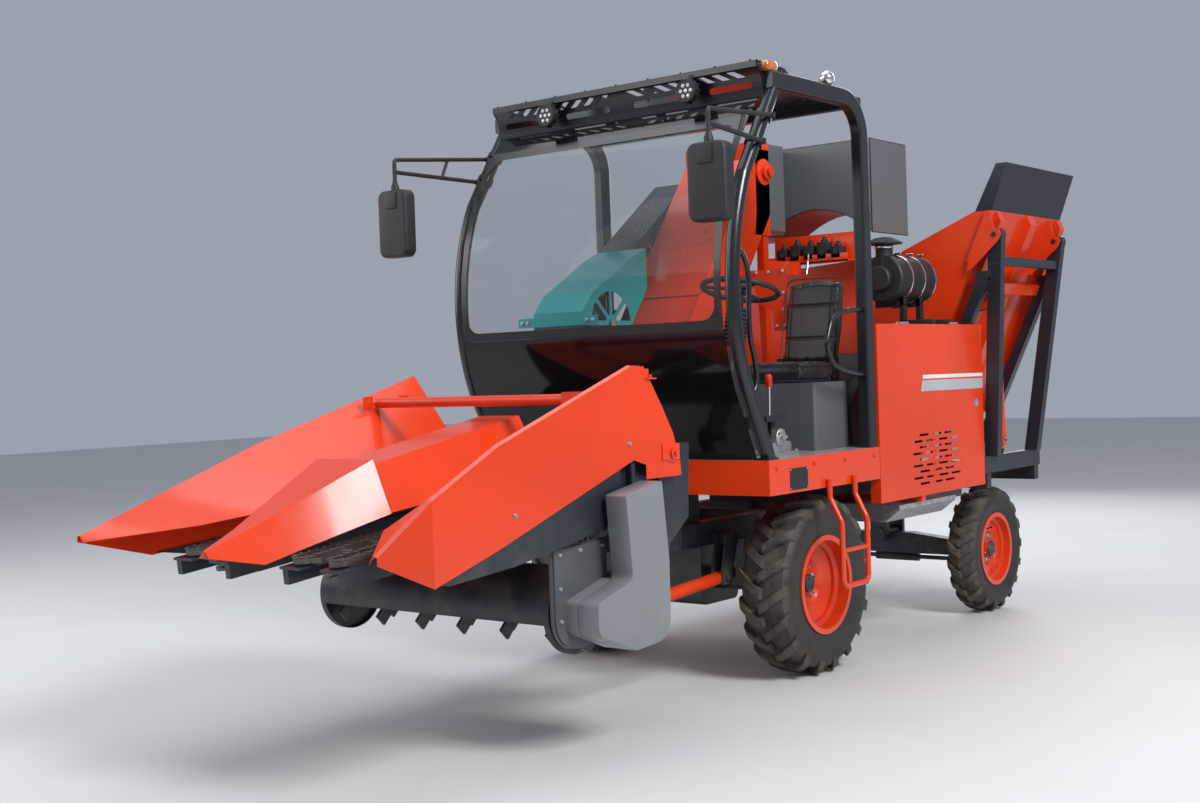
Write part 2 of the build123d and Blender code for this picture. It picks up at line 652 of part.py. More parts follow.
def seat():
    """The driver's seat cushion and backrest, on a thin pan."""
    base = PLATFORM_TOP + SEAT + SEAT_BOX_H + SEAT
    cushion = box(SEAT_X - 225, SEAT_X + 225, 260, 655, base, base + 110)
    cushion = fillet(cushion.edges(), 28)
    back = Pos(SEAT_X, 690, base + 40) * Rot(-12, 0, 0) * Box(420, 90, 520, align=(Align.CENTER, Align.CENTER, Align.MIN))
    back = fillet(back.edges(), 28)
    return group(cushion, back)


def steering_column():
    """The column with its console, wheel rim, spokes and hub."""
    base = PLATFORM_TOP + SEAT
    centre = Vector(SEAT_X, 60, 1940)
    foot = Vector(SEAT_X, -160, base)
    axis = (centre - foot).normalized()
    plane = Plane(origin=centre, x_dir=(1, 0, 0), z_dir=axis)
    ring = plane * Torus(190, 14)
    pieces = [ring, plane * Cylinder(38, 40)]
    for k in range(3):
        spoke = plane * Rot(0, 0, 90 + 120 * k) * Pos(95, 0, 0) * Rot(0, 90, 0) * Cylinder(9, 190)
        pieces.append(spoke)
    post = rod((foot.X, foot.Y, foot.Z), (centre.X, centre.Y, centre.Z), 24)
    console = box(SEAT_X - 90, SEAT_X + 90, -240, -80, base, base + 420)
    pieces.append(post)
    pieces.append(console)
    return join(pieces) - box(-900, 900, -900, 900, 1000, base)


# Engine bay


def engine():
    """The diesel engine as its block, head, sump and fan end, on two bearers."""
    x0, x1 = ENGINE_RIGHT, ENGINE_LEFT
    y0, y1 = ENGINE_FRONT, ENGINE_REAR
    z0, z1 = ENGINE_BOTTOM, ENGINE_TOP
    block = box(x0 + 60, x1 - 100, y0 + 60, y1 - 60, z0 + 90, z1 - 170)
    head = box(x0 + 90, x1 - 140, y0 + 70, y1 - 80, z1 - 170, z1)
    sump = box(x0 + 100, x1 - 160, y0 + 100, y1 - 140, z0, z0 + 90)
    gearcase = box(x0 + 40, x1 - 80, y0, y0 + 60, z0 + 60, z1 - 120)
    fan_end = Pos(x1 - 70, (y0 + y1) / 2, z0 + 420) * Rot(0, 90, 0) * Cylinder(230, 60)
    pieces = [block, head, sump, gearcase, fan_end]
    for y in (y0 + 130, y1 - 160):
        pieces.append(box(-RAIL_X - 20, RAIL_X + RAIL_W / 2, y - 30, y + 30, RAIL_TOP + SEAT, z0 + 110))
    return join(pieces)


def engine_panels():
    """The left engine cover with its louvres, and the plain cover on the right."""
    shapes = []
    for name, side in SIDES:
        x = side * PLATFORM_HALF
        inner = side * (PLATFORM_HALF - SHEET)
        rear_y = PANEL_REAR_Y if side > 0 else BIN_FRONT - 12
        sheet = box(inner, x, PANEL_FRONT_Y, rear_y, PANEL_BOTTOM, PANEL_TOP)
        top = box(side * (PLATFORM_HALF - 60), x, PANEL_FRONT_Y, BIN_POST_FRONT - 12, PANEL_TOP - SHEET, PANEL_TOP)
        front = box(side * (PLATFORM_HALF - 60), x, PANEL_FRONT_Y, PANEL_FRONT_Y + SHEET, PANEL_BOTTOM, PANEL_TOP)
        rear = box(side * (PLATFORM_HALF - 30), x, rear_y - SHEET, rear_y, PANEL_BOTTOM, PANEL_TOP)
        cover = join([sheet, top, front, rear])
        tie = box(side * RAIL_X, inner, 1150, 1200, RAIL_TOP + SEAT, RAIL_TOP + TIE_H)
        cover = join([cover, tie])
        if side > 0:
            for row in range(LOUVRE_ROWS):
                shift = 0 if row % 2 else 42
                for k in range(3):
                    y = 1310 + shift + k * 84
                    z = 1010 + row * 32
                    cover -= box(x - 10, x + 5, y, y + 56, z, z + 9)
        shapes.append(cover)
    return group(*shapes)


def air_cleaner():
    """The round air cleaner with its outlet, its neck, rain cap and stand."""
    y0, y1 = CLEANER_Y, CLEANER_Y + CLEANER_L
    body = rod((CLEANER_X, y0, CLEANER_Z), (CLEANER_X, y1, CLEANER_Z), CLEANER_R)
    outlet = rod((CLEANER_X, y0 - 60, CLEANER_Z), (CLEANER_X, y0 + 5, CLEANER_Z), 70)
    neck = rod((CLEANER_X, y0 + 90, CLEANER_Z + 60), (CLEANER_X, y0 + 90, CLEANER_Z + 200), 45)
    cap = Pos(CLEANER_X, y0 + 90, CLEANER_Z + 205) * Cone(110, 40, 45)
    pieces = [body, outlet, neck, cap]
    for y in (y0 + 110, y1 - 110):
        pieces.append(box(CLEANER_X - 90, CLEANER_X + 90, y - 20, y + 20, CLEANER_Z - CLEANER_R - 25, CLEANER_Z - 90))
        pieces.append(box(CLEANER_X + 60, CLEANER_X + 90, y - 20, y + 20, PANEL_TOP + SEAT, CLEANER_Z - 90))
        pieces.append(box(CLEANER_X + 60, PLATFORM_HALF - 10, y - 20, y + 20, PANEL_TOP + SEAT, PANEL_TOP + 30))
    return join(pieces)


def belly_tank():
    """The galvanised tank under the left engine cover."""
    low = 690.0
    top = RAIL_TOP - 6
    outline = [(RAIL_X + RAIL_W / 2 + SEAT, top), (850, top), (850, low + 70), (760, low), (RAIL_X + RAIL_W / 2 + SEAT, low)]
    return front_prism(outline, 960, 1640)


# Elevator, fan and chute


def ear_elevator():
    """The sloping elevator casing with its head, cover lip and drive boss."""
    hull = elevator_hull(0)
    inner_w = ELEVATOR_W / 2 - SHEET
    face_foot = ELEVATOR_FACE_Y + ELEVATOR_RUN * (ELEVATOR_FOOT - ELEVATOR_FACE_Z)
    head_y = ELEVATOR_FACE_Y + ELEVATOR_RUN * (ELEVATOR_TOP - ELEVATOR_FACE_Z)
    deep = ELEVATOR_D * math.hypot(1, ELEVATOR_RUN)
    head = side_prism([(head_y - 40, ELEVATOR_TOP - 330), (head_y - 40, ELEVATOR_TOP + 40), (head_y + deep, ELEVATOR_TOP + 40),
                       (CHUTE_FRONT - SEAT, CHUTE_BOTTOM + 200), (CHUTE_FRONT - SEAT, CHUTE_BOTTOM)],
                      ELEVATOR_X - ELEVATOR_W / 2, ELEVATOR_X + ELEVATOR_W / 2)
    pieces = [hull, head]
    for name, side in SIDES:
        x = ELEVATOR_X + side * (ELEVATOR_W / 2 - 30)
        pieces.append(box(x - 30, x + 30, CHUTE_FRONT - 90, CHUTE_FRONT - 30, RAIL_TOP + SEAT, CHUTE_BOTTOM + 60))
    pieces.append(box(-RAIL_X - 40, ELEVATOR_X + ELEVATOR_W / 2, CHUTE_FRONT - 90, CHUTE_FRONT - 30, RAIL_TOP + SEAT, RAIL_TOP + 60))
    pieces.append(box(RAIL_X, ELEVATOR_X, CHUTE_FRONT - 90, CHUTE_FRONT - 30, RAIL_TOP + SEAT, RAIL_TOP + 60))
    return join(pieces)


def chute_hood():
    """The grey sheet hood that throws the ears back into the bin, open below and behind."""
    x0, x1 = CHUTE_RIGHT, CHUTE_LEFT
    y0, y1 = CHUTE_FRONT, CHUTE_REAR
    z0, z1 = CHUTE_BOTTOM, CHUTE_TOP
    walls = box(x0, x1, y0, y1, z0, z1) - box(x0 + SHEET, x1 - SHEET, y0 + SHEET, y1 + 1, z0 - 1, z1 + 1)
    notch = side_prism([(y0 + 60, z1 + 1), (y1 + 1, z1 + 1), (y1 + 1, z1 - 170)], x1 - 10, x1 + 10)
    return walls - notch


def fan_outline(shrink):
    """The scroll's side outline, pulled in by a wall's thickness."""
    r = FAN_R - shrink
    top = FAN_Z + FAN_R + 110 - shrink
    low = FAN_Z - FAN_FOOT
    return [(FAN_Y - r, low), (FAN_Y - r, FAN_Z + 60), (FAN_Y - r * 0.62, FAN_Z + r * 0.66),
            (FAN_Y + 20, FAN_Z + r + 10), (FAN_Y + 190, top), (FAN_Y + 330, top + 60), (FAN_Y + 330, low)]


def fan_housing():
    """The turquoise scroll housing with a spoked air inlet on each side."""
    x0, x1 = FAN_LEFT_X - FAN_W, FAN_LEFT_X
    shell = side_prism(fan_outline(0), x0, x1)
    shell -= side_prism(fan_outline(SHEET), x0 + SHEET, x1 - SHEET)
    for x in (x0, x1):
        eye = rod((x - 10, FAN_Y, FAN_Z), (x + 10, FAN_Y, FAN_Z), FAN_EYE_R)
        spokes = [box(x - 20, x + 20, FAN_Y - FAN_R, FAN_Y + FAN_R, FAN_Z - 20, FAN_Z + 12)]
        spokes.append(rod((x - 20, FAN_Y, FAN_Z), (x + 20, FAN_Y, FAN_Z), 48))
        for angle in (45, 90, 135):
            spokes.append(Pos(x, FAN_Y, FAN_Z) * Rot(angle, 0, 0) * Box(40, FAN_EYE_R * 2.2, 24))
        upper = box(x - 20, x + 20, FAN_Y - FAN_R, FAN_Y + FAN_R, FAN_Z - FAN_FOOT, FAN_Z + FAN_R)
        shell -= (eye & upper) - join(spokes)
    front = FAN_Y - FAN_R
    flange = box(x0 - FAN_FLANGE, x1 + FAN_FLANGE, front - 6, front, FAN_Z - FAN_FOOT, FAN_Z - FAN_FOOT + 50)
    bore = rod((x0 - 20, FAN_Y, FAN_Z), (x1 + 20, FAN_Y, FAN_Z), FAN_SHAFT_R + RUN_FIT)
    return join([shell, flange]) - elevator_hull(10) - bore


def fan_base():
    """The dark stand with the lower half of the scroll, and the duct up behind the fan."""
    base = PLATFORM_TOP + SEAT
    x0, x1 = FAN_LEFT_X - FAN_W, FAN_LEFT_X
    top = FAN_Z - FAN_FOOT - SEAT
    stand = box(x0, ELEVATOR_X - ELEVATOR_W / 2 - 20, FAN_Y - FAN_R, FAN_Y + 330, base, top)
    wing = box(x0, x1, FAN_Y - FAN_R, FAN_Y + 330, FAN_Z - 350, top)
    belly = rod((x0 + SHEET, FAN_Y, FAN_Z), (x1 - SHEET, FAN_Y, FAN_Z), FAN_ROTOR_R + 15)
    bore = rod((x0 - 20, FAN_Y, FAN_Z), (x1 + 20, FAN_Y, FAN_Z), FAN_SHAFT_R + RUN_FIT)
    duct_right = ELEVATOR_X - ELEVATOR_W / 2 - 12
    high = FAN_Z + FAN_R + 165
    duct = side_prism([(FAN_Y + 330 + SEAT, FAN_Z + 200), (FAN_Y + 330 + SEAT, high), (FAN_Y + 900, high + 420),
                       (FAN_Y + 1150, high + 420), (FAN_Y + 1150, high + 180)], x0, duct_right)
    return group(join([stand, wing]) - elevator_hull(10) - belly - bore, duct)


def fan_rotor():
    """The fan's shaft and straight blades."""
    x0, x1 = FAN_LEFT_X - FAN_W, FAN_LEFT_X
    pieces = [rod((x0 - 14, FAN_Y, FAN_Z), (x1 + 14, FAN_Y, FAN_Z), FAN_SHAFT_R)]
    for k in range(3):
        pieces.append(Pos((x0 + x1) / 2, FAN_Y, FAN_Z) * Rot(60 * k, 0, 0) * Box(FAN_W - 60, 6, 2 * FAN_ROTOR_R))
    return join(pieces)


# Bin


EAR_Y = (BIN_POST_FRONT - PLATE - 6, BIN_POST_REAR - PLATE - 24)


def slant(z, out=0.0):
    """A point of the bin's slanted left wall at a height, set out from it square to the wall."""
    run = BIN_EDGE_X - BIN_TOE_X
    rise = BIN_EDGE_Z - BIN_FLOOR
    length = math.hypot(run, rise)
    x = BIN_TOE_X + (z - BIN_FLOOR) * run / rise
    return (x + out * rise / length, z - out * run / length)


def bin_body():
    """The open-topped ear bin with its slanted left wall, ribs, cross bar and pivot ears."""
    high = 3000.0
    tall = [(BIN_RIGHT_X, high), (BIN_RIGHT_X, 1520), (BIN_RIGHT_X + 290, BIN_FLOOR), (BIN_TOE_X, BIN_FLOOR), slant(high)]
    outer = front_prism(tall, BIN_FRONT, BIN_REAR)
    hollow_face = offset(Polygon(*tall, align=None), amount=-BIN_WALL)
    plane = Plane(origin=(0, BIN_FRONT + BIN_WALL, 0), x_dir=(1, 0, 0), z_dir=(0, -1, 0))
    inner = extrude(plane * hollow_face, amount=BIN_REAR - BIN_FRONT - 2 * BIN_WALL, dir=(0, 1, 0))
    shell = outer - inner
    rim_line = [(1500, BIN_EDGE_Z), (890, BIN_EDGE_Z), (400, BIN_SHOULDER_Z), (BIN_RIGHT_X - 50, BIN_RIM_Z),
                (BIN_RIGHT_X - 50, high + 50), (1600, high + 50)]
    shell -= front_prism(rim_line, BIN_FRONT - 10, BIN_REAR + 10)
    pieces = [shell]
    for y0, y1 in ((1975, 2030), (2410, 2500), (2870, 2935)):
        rib = [slant(BIN_FLOOR + 30, -2), slant(BIN_FLOOR + 30, RIB_D), slant(BIN_EDGE_Z - 40, RIB_D), slant(BIN_EDGE_Z - 2, 0), slant(BIN_EDGE_Z - 2, -2)]
        pieces.append(front_prism(rib, y0, y1))
    bar_z = 2005.0
    cross = [slant(bar_z + 30, RIB_D - 2), slant(bar_z + 30, RIB_D + 50), slant(bar_z - 30, RIB_D + 50), slant(bar_z - 30, RIB_D - 2)]
    pieces.append(front_prism(cross, 1980, TIP_Y - CYL_EYE_W / 2 - SEAT - PLATE / 2))
    pieces.append(front_prism(cross, TIP_Y + CYL_EYE_W / 2 + SEAT + PLATE / 2, BIN_POST_REAR - 12))
    for y0 in EAR_Y:
        ear = [slant(PIVOT_Z - 190, -2), slant(PIVOT_Z - 190, 20), (PIVOT_X + 20, PIVOT_Z - 40), (PIVOT_X + 42, PIVOT_Z),
               (PIVOT_X + 30, PIVOT_Z + 32), (PIVOT_X, PIVOT_Z + 44), slant(BIN_EDGE_Z - 2, 0), slant(BIN_EDGE_Z - 2, -2)]
        pieces.append(front_prism(ear, y0, y0 + PLATE))
    tie = [slant(PIVOT_Z - 150, -20), slant(PIVOT_Z - 150, 18), slant(BIN_EDGE_Z - 10, 18), slant(BIN_EDGE_Z - 10, -20)]
    pieces.append(front_prism(tie, BIN_FRONT - 30, BIN_FRONT + 2))
    for shift in (-1, 1):
        y = TIP_Y + shift * (CYL_EYE_W / 2 + SEAT)
        lug = [slant(TIP_EYE_Z + 90, RIB_D + 20), slant(TIP_EYE_Z + 90, -1), slant(TIP_EYE_Z - 60, -1),
               (TIP_EYE_X, TIP_EYE_Z - 34), (TIP_EYE_X + 34, TIP_EYE_Z - 20), (TIP_EYE_X + 34, TIP_EYE_Z + 20)]
        pieces.append(front_prism(lug, y, y + shift * PLATE))
    body = join(pieces)
    for y0 in EAR_Y:
        body -= rod((PIVOT_X, y0 - 5, PIVOT_Z), (PIVOT_X, y0 + PLATE + 5, PIVOT_Z), PIVOT_R + RUN_FIT)
    return body


def bin_lip():
    """The dark deflector on the bin's left edge, with its front gusset."""
    foot = (BIN_EDGE_X - 6, BIN_EDGE_Z + SEAT)
    head = (1090.0, 2672.0)
    lip = front_prism([foot, (foot[0] + SHEET, foot[1]), (head[0] + SHEET, head[1]), head], BIN_FRONT + 10, BIN_REAR - 10)
    gusset = front_prism([foot, head, (head[0] - 60, head[1]), (foot[0] - 100, foot[1])], BIN_FRONT + 10, BIN_FRONT + 14)
    return join([lip, gusset])


def bin_frame():
    """The blue-black frame with its leaning posts, inner legs, cross tubes and bin rests."""
    pieces = []
    beam_low = BEAM_TOP - BEAM_H
    for name, side in SIDES:
        pieces.append(box(side * (BEAM_X - 40), side * (BEAM_X + 0), PANEL_REAR_Y + 6, 2765, beam_low, BEAM_TOP))
    pieces.append(box(-BEAM_X + 10, BEAM_X - 10, 2000, 2060, RAIL_TOP + SEAT, beam_low + 20))
    pieces.append(box(-BEAM_X + 10, BEAM_X - 10, 2700, 2760, RAIL_TOP + SEAT, beam_low + 20))
    half = BIN_POST_W / 2
    leg_foot = RAIL_TOP + 60
    for y0, splay in ((BIN_POST_FRONT, BIN_POST_SPLAY), (BIN_POST_REAR, -BIN_POST_SPLAY)):
        y1 = y0 + BIN_POST_D
        foot = Plane.XY.offset(BEAM_TOP - 5) * Pos(BEAM_X, (y0 + y1) / 2 + splay) * Rectangle(BIN_POST_W, BIN_POST_D)
        head = Plane.XY.offset(PIVOT_Z) * Pos(PIVOT_X, (y0 + y1) / 2) * Rectangle(BIN_POST_W, BIN_POST_D)
        pieces.append(loft([foot, head], ruled=True))
        pieces.append(rod((PIVOT_X, y0 - 1, PIVOT_Z), (PIVOT_X, y1 + 3, PIVOT_Z), half + 2))
        leg = [slant(2060, 75), slant(2060, 135), slant(leg_foot, 135), slant(leg_foot, 75)]
        pieces.append(front_prism(leg, y0, y1))
        pieces.append(box(890, 985, y0 + 5, y1 - 5, 2020, 2060))
        pieces.append(box(leg[3][0] - 30, leg[2][0] + 30, min(y0, y0 + splay), max(y1, y1 + splay), RAIL_TOP + 5, RAIL_TOP + 80))
    pieces.append(box(PIVOT_X - 35, PIVOT_X + 15, BIN_POST_FRONT + 20, BIN_POST_REAR + 20, 2090, 2140))
    for y in (2000, 2700):
        pieces.append(box(-700, -640, y, y + 60, RAIL_TOP + 5, BIN_FLOOR - 66))
        pieces.append(box(-700, 300, y, y + 60, BIN_FLOOR - 66, BIN_FLOOR - 6))
        pieces.append(box(240, 300, y, y + 60, RAIL_TOP + 5, BIN_FLOOR - 66))
    frame = join(pieces)
    for y0 in EAR_Y:
        frame += rod((PIVOT_X, y0 - 4, PIVOT_Z), (PIVOT_X, y0 + 50, PIVOT_Z), PIVOT_R)
    for shift in (-1, 1):
        y = TIP_Y + shift * (CYL_EYE_W / 2 + SEAT)
        frame += front_prism([(BEAM_X - 38, BEAM_TOP - 5), (BEAM_X - 30, TIP_FOOT_Z + 30), (BEAM_X + 30, TIP_FOOT_Z + 30),
                              (BEAM_X - 1, BEAM_TOP - 5)], y, y + shift * PLATE)
    frame += rod((BEAM_X, TIP_Y - CYL_EYE_W, TIP_FOOT_Z), (BEAM_X, TIP_Y + CYL_EYE_W, TIP_FOOT_Z), CYL_PIN_R)
    return frame


# Hydraulic cylinders


def cylinder_pair(foot, eye, across, barrel_r, rod_r, rod_show, stroke_in):
    """A barrel from its foot pin, and the rod up to its eye; both lie on one line."""
    a = Vector(*foot)
    b = Vector(*eye)
    axis = (b - a).normalized()
    side = Vector(*across)
    length = (b - a).length
    mouth = length - rod_show
    plane = Plane(origin=a, x_dir=side, z_dir=axis)
    up = (Align.CENTER, Align.CENTER, Align.MIN)
    foot_eye = Rot(0, 90, 0) * Cylinder(CYL_EYE_R, CYL_EYE_W)
    neck = CYL_EYE_R + 12
    barrel = join([foot_eye, Box(CYL_EYE_W, CYL_EYE_R * 1.4, neck + 2, align=up),
                   Pos(0, 0, neck) * Cylinder(barrel_r, mouth - neck, align=up)])
    barrel -= Rot(0, 90, 0) * Cylinder(CYL_PIN_R + RUN_FIT, CYL_EYE_W + 2)
    barrel -= Pos(0, 0, CYL_EYE_R + 45) * Cylinder(rod_r + RUN_FIT, mouth, align=up)
    start = CYL_EYE_R + 45 + SEAT + stroke_in
    bar_rod = Pos(0, 0, start) * Cylinder(rod_r, length - start, align=up)
    eye_boss = Pos(0, 0, length) * Rot(0, 90, 0) * Cylinder(CYL_EYE_R, CYL_EYE_W)
    return plane * barrel, plane * join([bar_rod, eye_boss])


# Header


def deck_plane(x, y_run, lift):
    """A plane on the gathering deck, its x axis across and its y axis up the slope."""
    slope = math.radians(DECK_SLOPE)
    y = DECK_Y + y_run * math.cos(slope) - lift * math.sin(slope)
    z = DECK_Z + y_run * math.sin(slope) + lift * math.cos(slope)
    return Plane(origin=(x, y, z), x_dir=(1, 0, 0), z_dir=(0, -math.sin(slope), math.cos(slope)))


def gathering_chains():
    """Four gathering chains as loops with lugs that reach into the row gaps."""
    loops = []
    for row in (-1, 1):
        for hand in (-1, 1):
            centre = row * ROW_X + hand * (ROW_GAP / 2 + CHAIN_W / 2)
            outer = Pos(0, DECK_L / 2) * SlotOverall(DECK_L, CHAIN_W, rotation=90)
            inner = Pos(0, DECK_L / 2) * SlotOverall(DECK_L - 2 * CHAIN_BAR, CHAIN_W - 2 * CHAIN_BAR, rotation=90)
            loop = extrude(outer - inner, amount=CHAIN_H)
            teeth = []
            count = int((DECK_L - CHAIN_W) / LUG_PITCH)
            for k in range(count + 1):
                y = CHAIN_W / 2 + k * LUG_PITCH + (LUG_PITCH / 2 if hand > 0 else 0)
                if y < DECK_L - CHAIN_W / 2:
                    tip = -hand * (CHAIN_W / 2 + LUG_REACH)
                    root = -hand * (CHAIN_W / 2 - 4)
                    teeth.append(extrude(Polygon((root, y - 16), (tip, y + 2), (tip, y + 12), (root, y + 16), align=None),
                                         amount=CHAIN_H - 6, dir=(0, 0, 1)))
            loops.append(deck_plane(centre, 0, 6) * join([loop] + teeth))
    return group(*loops)


def stalk_rolls():
    """Two tapered stalk rolls under each row gap."""
    shapes = []
    for row in (-1, 1):
        for hand in (-1, 1):
            plane = deck_plane(row * ROW_X + hand * (ROLL_R + 6), 90, -64)
            up = (Align.CENTER, Align.CENTER, Align.MIN)
            body = Pos(0, 120, 0) * Rot(-90, 0, 0) * Cylinder(ROLL_R - 8, ROLL_L, align=up)
            nose = Pos(0, 0, 0) * Rot(-90, 0, 0) * Cone(12, ROLL_R - 8, 120, align=up)
            pieces = [body, nose]
            for k in range(3):
                pieces.append(Pos(0, 120, 0) * Rot(-90, 0, 0) * Rot(0, 0, 60 * k) * Box(2 * ROLL_R, 8, ROLL_L, align=up))
            shapes.append(plane * join(pieces))
    return group(*shapes)


def deck_plates():
    """The four deck plates with their beams and the idlers that carry the chains."""
    shapes = []
    rear_y = DECK_Y + DECK_L - 40 - SEAT
    up = (Align.CENTER, Align.CENTER, Align.MIN)
    for row in (-1, 1):
        for hand in (-1, 1):
            x = row * ROW_X + hand * (ROW_GAP / 2 + 60)
            plane = deck_plane(x, DECK_L / 2 + 20, 0)
            pieces = [plane * Pos(0, 0, -6) * Box(120, DECK_L + 80, 10)]
            pieces.append(plane * Pos(hand * 40, 0, -40) * Box(30, DECK_L + 60, 62))
            idler_x = row * ROW_X + hand * (ROW_GAP / 2 + CHAIN_W / 2)
            for run in (CHAIN_W / 2, DECK_L - CHAIN_W / 2):
                pieces.append(deck_plane(idler_x, run, -6) * Cylinder(CHAIN_W / 2 - CHAIN_BAR - SEAT, 30, align=up))
            cut = box(-900, 900, rear_y, rear_y + 300, 0, 2000)
            shapes.append(join(pieces) - cut)
    return group(*shapes)


def header_frame():
    """Side plates, trough, rear beam and hinge arms of the header."""
    pieces = []
    rear_y = DECK_Y + DECK_L
    pieces.append(box(-760, 760, rear_y - 40, rear_y + 40, DECK_Z + 40, DECK_Z + 128))
    trough = rod((-TROUGH_HALF, TROUGH_Y, TROUGH_Z), (TROUGH_HALF, TROUGH_Y, TROUGH_Z), TROUGH_R)
    trough -= rod((-TROUGH_HALF + SHEET, TROUGH_Y, TROUGH_Z), (TROUGH_HALF - SHEET, TROUGH_Y, TROUGH_Z), TROUGH_R - SHEET)
    trough -= box(-TROUGH_HALF - 1, TROUGH_HALF + 1, TROUGH_Y - 400, TROUGH_Y + 400, TROUGH_Z, TROUGH_Z + 400)
    outlet = box(ELEVATOR_X - 170, ELEVATOR_X + 170, TROUGH_Y + 60, TROUGH_Y + 400, TROUGH_Z - 130, TROUGH_Z + 30)
    rear_wall = box(-TROUGH_HALF, TROUGH_HALF, TROUGH_Y + TROUGH_R - SHEET, TROUGH_Y + TROUGH_R, TROUGH_Z - 5, TROUGH_Z + 210)
    bore = rod((-900, TROUGH_Y, TROUGH_Z), (900, TROUGH_Y, TROUGH_Z), AUGER_STUB_R + RUN_FIT)
    pieces.append(join([trough, rear_wall]) - outlet - bore)
    for name, side in SIDES:
        plate = [(TROUGH_Y + TROUGH_R, TROUGH_Z + 210), (TROUGH_Y + TROUGH_R, TROUGH_Z - 60), (TROUGH_Y + 60, TROUGH_Z - 190),
                 (rear_y - 60, DECK_Z + 20), (rear_y - 60, DECK_Z + 150), (TROUGH_Y - 100, TROUGH_Z + 210)]
        end = side_prism(plate, side * TROUGH_HALF, side * (TROUGH_HALF + PLATE))
        pieces.append(end - bore)
        arm = [(HINGE_Y + 40, HINGE_Z - 20), (HINGE_Y + 40, HINGE_Z + 20), (HINGE_Y, HINGE_Z + 42), (TROUGH_Y + TROUGH_R - 2, HINGE_Z + 60),
               (TROUGH_Y + TROUGH_R - 2, HINGE_Z - 60), (HINGE_Y, HINGE_Z - 42)]
        x0 = side * (RAIL_X + 30 + 6)
        pieces.append(side_prism(arm, x0, x0 + side * 30) - rod((-900, HINGE_Y, HINGE_Z), (900, HINGE_Y, HINGE_Z), HINGE_R + RUN_FIT))
    beam_z = TROUGH_Z - TROUGH_R - 62
    pieces.append(box(-720, 720, TROUGH_Y - 40, TROUGH_Y + 40, beam_z, beam_z + 66))
    for name, side in SIDES:
        strut = [(TROUGH_Y - 38, beam_z), (TROUGH_Y - 38, beam_z + 60), (CHOPPER_Y + 60, CHOPPER_Z + 200), (CHOPPER_Y + 120, CHOPPER_Z + 120)]
        pieces.append(side_prism(strut, side * 640, side * (640 + 40)))
        rise = [(rear_y - 30, DECK_Z + 60), (rear_y + 30, DECK_Z + 60), (CHOPPER_Y + 60, CHOPPER_Z + 150), (CHOPPER_Y - 20, CHOPPER_Z + 150)]
        pieces.append(side_prism(rise, side * 640, side * (640 + 40)))
    room = CHOPPER_R + SHEET + SEAT
    pieces = [join(pieces) - rod((-900, CHOPPER_Y, CHOPPER_Z), (900, CHOPPER_Y, CHOPPER_Z), room)]
    eye_y, eye_z = LIFT_EYE
    for shift in (-1, 1):
        inner = LIFT_X + shift * (CYL_EYE_W / 2 + SEAT)
        lug = [(eye_y - 34, eye_z - 30), (eye_y + 34, eye_z - 30), (eye_y + 34, eye_z + 30), (TROUGH_Y + 38, beam_z + 10), (TROUGH_Y - 38, beam_z + 10)]
        pieces.append(side_prism(lug, inner, inner + shift * PLATE))
    return join(pieces)


def ear_auger():
    """The cross auger's shaft with two hands of flighting that meet over the outlet."""
    half = TROUGH_HALF - 12
    pieces = [rod((-half, TROUGH_Y, TROUGH_Z), (half, TROUGH_Y, TROUGH_Z), AUGER_SHAFT_R)]
    pieces.append(rod((-TROUGH_HALF - 30, TROUGH_Y, TROUGH_Z), (TROUGH_HALF + 30, TROUGH_Y, TROUGH_Z), AUGER_STUB_R))
    for k in range(9):
        x = -half + 60 + k * 155
        pieces.append(Pos(x, TROUGH_Y, TROUGH_Z) * Rot(0, 90 + 14, 0) * Cylinder(AUGER_R - 8, 5))
    return join(pieces)


def divider(side_table, thick):
    """A sheet steel cover lofted through cross sections; each row is a station along Y."""
    faces = []
    for y, profile in side_table:
        plane = Plane(origin=(0, y, 0), x_dir=(1, 0, 0), z_dir=(0, -1, 0))
        faces.append(plane * Polygon(*profile, align=None))
    solids = []
    for first, second in zip(faces, faces[1:]):
        solids.append(loft([first, second], ruled=True))
    return join(solids)


def roof_profile(points, t):
    """A sheet's cross section: the outside line, and back along the inside of it."""
    inside = []
    for k, (x, z) in enumerate(points):
        before = points[max(k - 1, 0)]
        after = points[min(k + 1, len(points) - 1)]
        dx, dz = after[0] - before[0], after[1] - before[1]
        length = math.hypot(dx, dz)
        inside.append((x + t * dz / length, z - t * dx / length))
    return list(points) + inside[::-1]


def divider_centre():
    """The centre divider: a flat-topped nose, and a lower hood behind it."""
    # columns: y, half width of the flat, z of the flat, half width of the skirt, z of the skirt
    nose = ((-2876, 6, 940, 30, 915), (-2715, 40, 999, 150, 880), (-2175, 167, 1235, 262, 1022))
    hood = ((-2172, 117, 1205, 255, 1024), (-1240, 117, 1370, 255, 1120))
    shapes = []
    for table in (nose, hood):
        stations = []
        for y, flat, top, skirt, low in table:
            stations.append((y, roof_profile([(-skirt, low), (-flat, top), (flat, top), (skirt, low)], DIVIDER_T)))
        shapes.append(divider(stations, DIVIDER_T))
    step = front_prism([(-262, 1022), (-167, 1235), (167, 1235), (262, 1022), (250, 1022), (112, 1195), (-112, 1195), (-250, 1022)],
                       -2175, -2172)
    return join(shapes + [step])


